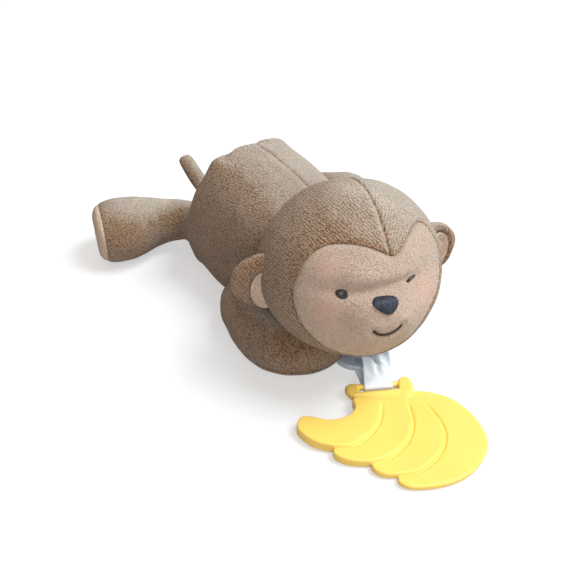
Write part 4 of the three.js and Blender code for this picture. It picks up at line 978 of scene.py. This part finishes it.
def slab(line, low, high, round_top, round_low=1.0):
    """A flat solid over an outline, with rounded edges above and below."""
    line, inward = with_inward(line)
    lower, upper = np.linspace(0, math.pi / 2, 6), np.linspace(0, math.pi / 2, 8)
    steps = [(round_low * (1 - math.sin(a)), low + round_low * (1 - math.cos(a))) for a in lower]
    steps += [(round_top * (1 - math.cos(a)), high - round_top * (1 - math.sin(a))) for a in upper]
    level = np.ones((len(line), 1))
    return capped(np.stack([np.hstack([line + inward * inset, level * z]) for inset, z in steps]))


def box_line(x0, x1, y0, y1, r, count=12):
    """The outline of a box with round corners."""
    corners = [(x1 - r, y0 + r, -90), (x1 - r, y1 - r, 0), (x0 + r, y1 - r, 90), (x0 + r, y0 + r, 180)]
    line = []
    for x, y, a in corners:
        for t in np.radians(np.linspace(a, a + 90, count)):
            line.append((x + r * math.cos(t), y + r * math.sin(t)))
    return np.array(line)


def round_bar(half, rise, radius):
    """A round bar across the stem."""
    turn = turns(32)
    circle = np.stack([0 * turn, radius * np.cos(turn), rise + radius * np.sin(turn)], -1)
    return capped(np.stack([circle + x * X for x in np.linspace(-half, half, 40)]))


def grooved(p):
    """Points pressed down along the foot of each banana's edge."""
    p = p.copy()
    top = np.flatnonzero(p[:, 2] > GROOVE_FROM)
    for outline, level in zip(BANANAS[:-1], BANANA_TOPS):
        line, inward = with_inward(closed_line(outline, BANANA_STEPS))
        for part in np.array_split(top, BATCHES):
            away = p[part, None, :2] - line
            nearest = np.argmin(np.sum(away**2, -1), axis=1)
            gap = -np.sum(away[np.arange(len(part)), nearest] * inward[nearest], axis=-1)
            foot = (gap > GROOVE_INSIDE) & (p[part, 2] < level - GROOVE_UNDER)
            depth = GROOVE_DEPTH * smooth(*GROOVE_FADE, p[part, 1])
            p[part, 2] -= depth * hump(gap - GROOVE_ASIDE, GROOVE_WIDE) * foot
    return p


def build_teether():
    layers = []
    for line, top in zip(BANANAS, BANANA_TOPS):
        layers.append((closed_line(line, BANANA_STEPS), BANANA_LOW, top, BANANA_EDGE))
    layers += [
        (closed_line(LEFT_POST, 120), 1.0, 4.4, 1.3),
        (closed_line(RIGHT_POST, 120), 1.0, 4.6, 1.3),
        (closed_line(COLLAR, 160), 0.5, 3.6, 1.2),
        (box_line(-12.6, 14.6, -7.0, -4.2, 1.2), 1.0, 4.7, 1.2),
    ]
    solids = [slab(*layer) for layer in layers]
    solids.append(round_bar(BAR_HALF, BAR_RISE, BAR_RADIUS - BAR_EASE))
    points, faces = [], []
    for spots, links in solids:
        first = len(points)
        points += spots.tolist()
        faces += [tuple(first + i for i in face) for face in links]
    bunch = piece("teether_bunch", points, faces)
    even = bunch.modifiers.new("even", "REMESH")
    even.mode = "VOXEL"
    even.voxel_size = VOXEL * MM
    soft = bunch.modifiers.new("soft", "SMOOTH")
    soft.factor = SOFT_SHARE
    soft.iterations = SOFT_ROUNDS
    baked(bunch)
    moved(bunch, grooved)
    moved(bunch, from_bar)
    look = plastic_look("yellow_plastic", YELLOW, rough=0.42, skin=0.03, soft=0.25)
    dress(bunch, look, "yellow_plastic", "teether", "banana_teether")


# Ribbon: one satin strip that runs from the chest under the bar, round it and back on top
RIBBON_LEG, RIBBON_SEAM, RIBBON_GATHER = 48.0, 44.0, 14.0
RIBBON_ROWS, RIBBON_COLUMNS, RIBBON_THICK, RIBBON_LOWEST = 150, 26, 0.3, 0.35
RIBBON_TURN = BAR_RADIUS + 0.55
# Near this place the ribbon goes over to a cool blue tone, which is painted shade under the chin.
PAINTED_SHADE_PLACE, PAINTED_SHADE_REACH = np.array([0.0, 18.0, 5.0]), 21
FOLD_LINE = [
    (-3.0, 12.6), (-8.6, 13.2), (-12.8, 15.4), (-15.4, 19.5), (-13, 26), (-6, 28), (0, 26), (0.5, 18),
]


def crumpled(u, v):
    """Height of the ribbon: two pairs of a ridge and a dent, and waves."""
    crease = lambda x, w: np.exp(-np.abs(x / w) ** 1.6)
    slant = u * 0.75 + v * 0.85 + 1.2
    slanted = 1.8 * crease(slant - 10.5 * 0.85, 1.5) - 1.3 * crease(slant - 13.6 * 0.85, 1.7)
    upright = 1.3 * crease(u - 2.6 + 0.12 * (v - 8), 1.2) - 0.9 * crease(u - 0.4 + 0.1 * (v - 8), 1.1)
    return slanted + upright + 0.7 * np.sin(u * 1.3 + v * 0.35)


def build_ribbon():
    half_turn = math.pi * RIBBON_TURN
    total = 2 * RIBBON_LEG + half_turn
    s = np.linspace(0, total, RIBBON_ROWS)
    t = np.linspace(-0.5, 0.5, RIBBON_COLUMNS)
    under, over = s < RIBBON_LEG, s > RIBBON_LEG + half_turn
    straight = under | over
    a = (s - RIBBON_LEG) / RIBBON_TURN
    v = np.where(under, RIBBON_LEG - s, np.where(over, s - RIBBON_LEG - half_turn, -RIBBON_TURN * np.sin(a)))
    climb = smooth(2, 30, v)
    lower = mix(BAR_RISE - RIBBON_TURN, EYELET[2] - 0.45, climb) + 0.15
    upper = mix(BAR_RISE + RIBBON_TURN, EYELET[2] + 0.45, climb) + 4.2 * hump(v - 14, 8)
    z = np.where(under, lower, np.where(over, upper, BAR_RISE - RIBBON_TURN * np.cos(a)))
    near_seam = smooth(RIBBON_SEAM - RIBBON_GATHER, RIBBON_SEAM, v)
    gather = 1 - 0.45 * near_seam * straight
    aside = np.where(under, -2.0, 0.4) * hump(v - 15, 9) + np.where(over, 0.8 * np.sin(v / 7), 0)
    u = aside[:, None] + gather[:, None] * RIBBON_WIDTH * t
    along = np.broadcast_to(v[:, None], u.shape)
    crumple = crumpled(u, along) * np.where(over, 1, 0.22)[:, None]
    pleat = 0.54 * np.sin(t * FULL_TURN * 3.2) * near_seam[:, None]
    loose = (smooth(1.5, 9, v) * straight)[:, None]
    height = np.maximum(z[:, None] + (crumple + pleat) * loose, RIBBON_LOWEST)
    strip = from_bar(np.stack([u, along, height], -1))
    faces = ring_faces(RIBBON_ROWS, RIBBON_COLUMNS, closed=False)
    ribbon = piece("satin_ribbon", strip.reshape(-1, 3), faces)
    skin = ribbon.modifiers.new("cloth", "SOLIDIFY")
    skin.thickness = RIBBON_THICK * MM
    skin.offset = 0
    baked(ribbon)
    # The ribbon's satin is painted with cool blue shade near the chin.
    look = satin_look("satin", SATIN_WHITE, [(from_bar(PAINTED_SHADE_PLACE), PAINTED_SHADE_REACH, 1.0, SATIN_PAINTED_COOL_SHADE)])
    dress(ribbon, look, "satin", "pull", "ribbon")
    fold = build_fold()


def build_fold():
    """The end of the ribbon, folded to one side under the chin, in a darker satin that is painted shade."""
    fold = piece("ribbon_fold", *slab(closed_line(FOLD_LINE, 120), 0.5, 3.4, 1.2, 0.8))
    moved(fold, from_bar)
    # Its darker satin is painted shade.
    dress(fold, satin_look("painted_shade_satin", SATIN_PAINTED_SHADE), "satin", "pull")
    return fold


# Pull cord: it pays out between the eyelet and the ribbon
CORD_RADIUS, CORD_STEPS = 1.0, 160
BRAID_DEPTH, BRAID_STRANDS, BRAID_RATE = 0.07, 3, 2.4


def build_cord():
    low, high = (np.asarray(corner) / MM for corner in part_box("cord_winding"))
    start = np.array([(low[0] + high[0]) / 2, (low[1] + high[1]) / 2, low[2] + CORD_RADIUS])
    inside = [start, start - 7 * Y, start - 17 * Y, EYELET - 12 * PULL, EYELET - 4.5 * PULL]
    route = inside + [EYELET - 3 * PULL, EYELET + 3 * PULL, EYELET + 8 * PULL]
    line, way, length = through(route, CORD_STEPS)
    side = unit(np.cross(way, Z))
    up = np.cross(side, way)
    turn = turns(16)
    run = np.linspace(0, length, CORD_STEPS)[:, None]
    braid = CORD_RADIUS * (1 + BRAID_DEPTH * np.sin(turn * BRAID_STRANDS + run * BRAID_RATE))
    circle = side[:, None] * np.cos(turn)[:, None] + up[:, None] * np.sin(turn)[:, None]
    cord = ring_piece("pull_string", line[:, None] + braid[..., None] * circle)
    span = (EYELET - 2.5 * PULL, EYELET + 4 * PULL)
    dress(cord, fibre_look("braid", CORD_WHITE, 0.5), "cordage", "pull", "pull_cord", span=span)


# The inner pieces keep their CAD solids and get their materials
def dress_inside():
    looks = {
        "cordage": fibre_look("winding", CORD_WHITE, 0.6),
        "white_plastic": plastic_look("white_plastic", CASE_WHITE, rough=0.45),
        "steel": metal_look("steel", STEEL, rough=0.28),
        "brass": metal_look("brass", BRASS, rough=0.26),
    }
    for part in frame["record"]["subparts"]:
        look = looks.get(part["material_slot"])
        node = frame["nodes"][part["node"]]
        if look and not node.hide_render:
            wear(node, look)


# Camera, lamps, sky and floor, in metres
CAMERA_TURN, CAMERA_RISE = math.radians(-40), math.radians(38)
CAMERA_AWAY, CAMERA_ASIDE, CLIP_START = 0.48, -0.00179, 0.01
SENSOR, FOCAL_PIXELS, FRAME_PIXELS = 36, 940, 580
SKY_LEVEL, SKY_TINT, WHITE = 0.21, (1, 0.86, 0.74), (1, 1, 1)
LAMPS = (
    ("key", (0.95, 1.4, -0.05), 3.0, 2.0, 126.0, (0.92, 0.98, 1.0)),
    ("back", (-0.3, 0.6, -1.0), 1.6, 1.4, 9.0, (0.96, 0.99, 1.0)),
    ("fill", (0.1, 0.6, 1.0), 1.4, 1.2, 9.0, (1.0, 0.98, 0.96)),
)
FLOOR_REACH, FLOOR_LIT, FLOOR_SEEN = 2.5, (0.5, 0.48, 0.46), (0.92, 0.915, 0.91)
GLOW_REACH, GLOW_NEAR = 1000, 0.5


def set_camera(scene, right, back):
    camera = added("camera", bpy.data.cameras.new("camera"))
    camera.data.sensor_width = SENSOR
    camera.data.lens = SENSOR * FOCAL_PIXELS / FRAME_PIXELS
    camera.data.clip_start = CLIP_START
    camera.matrix_world = Matrix((right, back.cross(right), back)).transposed().to_4x4()
    camera.matrix_world.translation = back * CAMERA_AWAY + right * CAMERA_ASIDE
    scene.camera = camera


def add_lamp(name, way, far, size, power, tint):
    lamp = bpy.data.lights.new(name, "AREA")
    lamp.shape = "DISK"
    lamp.size = size
    lamp.energy = power
    lamp.color = tint
    obj = added(name, lamp)
    obj.location = way.normalized() * far
    obj.rotation_euler = way.to_track_quat("Z", "Y").to_euler()


def set_sky(scene):
    """A dim warm sky that looks white to the camera and in reflections."""
    scene.world = bpy.data.worlds.new("sky")
    scene.world.use_nodes = True
    sky = Nodes(scene.world.node_tree)
    seen = sky.seen()[1]
    level = sky.spread(seen, 0.0, 1.0, SKY_LEVEL, 1.0)
    sky.feed(sky.tree.nodes["Background"], Strength=level, Color=sky.blend(seen, SKY_TINT, WHITE))


def add_floor():
    """A floor that looks white, and keeps the shadow near the object."""
    corners = np.array([(-1, -1, 0), (1, -1, 0), (1, 1, 0), (-1, 1, 0)]) * FLOOR_REACH / MM
    floor = piece("floor", corners, [(0, 1, 2, 3)])
    look = Look("white_floor")
    glow = look.node("Emission", Color=WHITE)[0]
    direct, seen = look.seen()
    look.set(Base_Color=look.blend(direct, FLOOR_LIT, FLOOR_SEEN), Roughness=0.9, Specular_IOR_Level=0.0)
    plain = look.spread(look.near((0, 0, 0), GLOW_REACH), 0.25, 0.75, 1.0, GLOW_NEAR)
    share = look.math("MULTIPLY", seen, plain)
    both = look.node("MixShader", _0=share, _1=look.surface.outputs[0], _2=glow)[0]
    look.feed(look.tree.nodes["Material Output"], Surface=both)
    wear(floor, look.material)


def lit_stage():
    scene = bpy.context.scene
    scene.view_settings.view_transform = "Standard"
    back = Vector((math.sin(CAMERA_TURN), -math.cos(CAMERA_TURN), 0))
    right = Vector((math.cos(CAMERA_TURN), math.sin(CAMERA_TURN), 0))
    rise = Vector(Z)
    set_camera(scene, right, back * math.cos(CAMERA_RISE) + rise * math.sin(CAMERA_RISE))
    for name, (aside, up, towards), *lamp in LAMPS:
        add_lamp(name, right * aside + rise * up + back * towards, *lamp)
    set_sky(scene)
    add_floor()


plush = plush_look()
waled = waled_look("head_plush", head_rows)
# The soles wear a lighter, warmer copy of the face fleece; the lightness is painted light.
lit_sole_fleece = fleece_look("lit_sole_fleece", SOLE_TONE_AND_PAINTED_LIGHT)
build_torso(plush)
theta, edge = panel_edge()
build_head(waled, theta, edge)
build_panel(theta, edge)
for (name, _), eye in zip(HANDS, EYES):
    build_eye(name, *eye)
build_nose()
build_mouth()
for name, hand in HANDS:
    build_ear(name, hand, waled)
    build_arm(name, hand, plush)
    build_leg(name, hand, plush, lit_sole_fleece)
build_tail(plush)
build_teether()
build_ribbon()
build_cord()
dress_inside()
lit_stage()
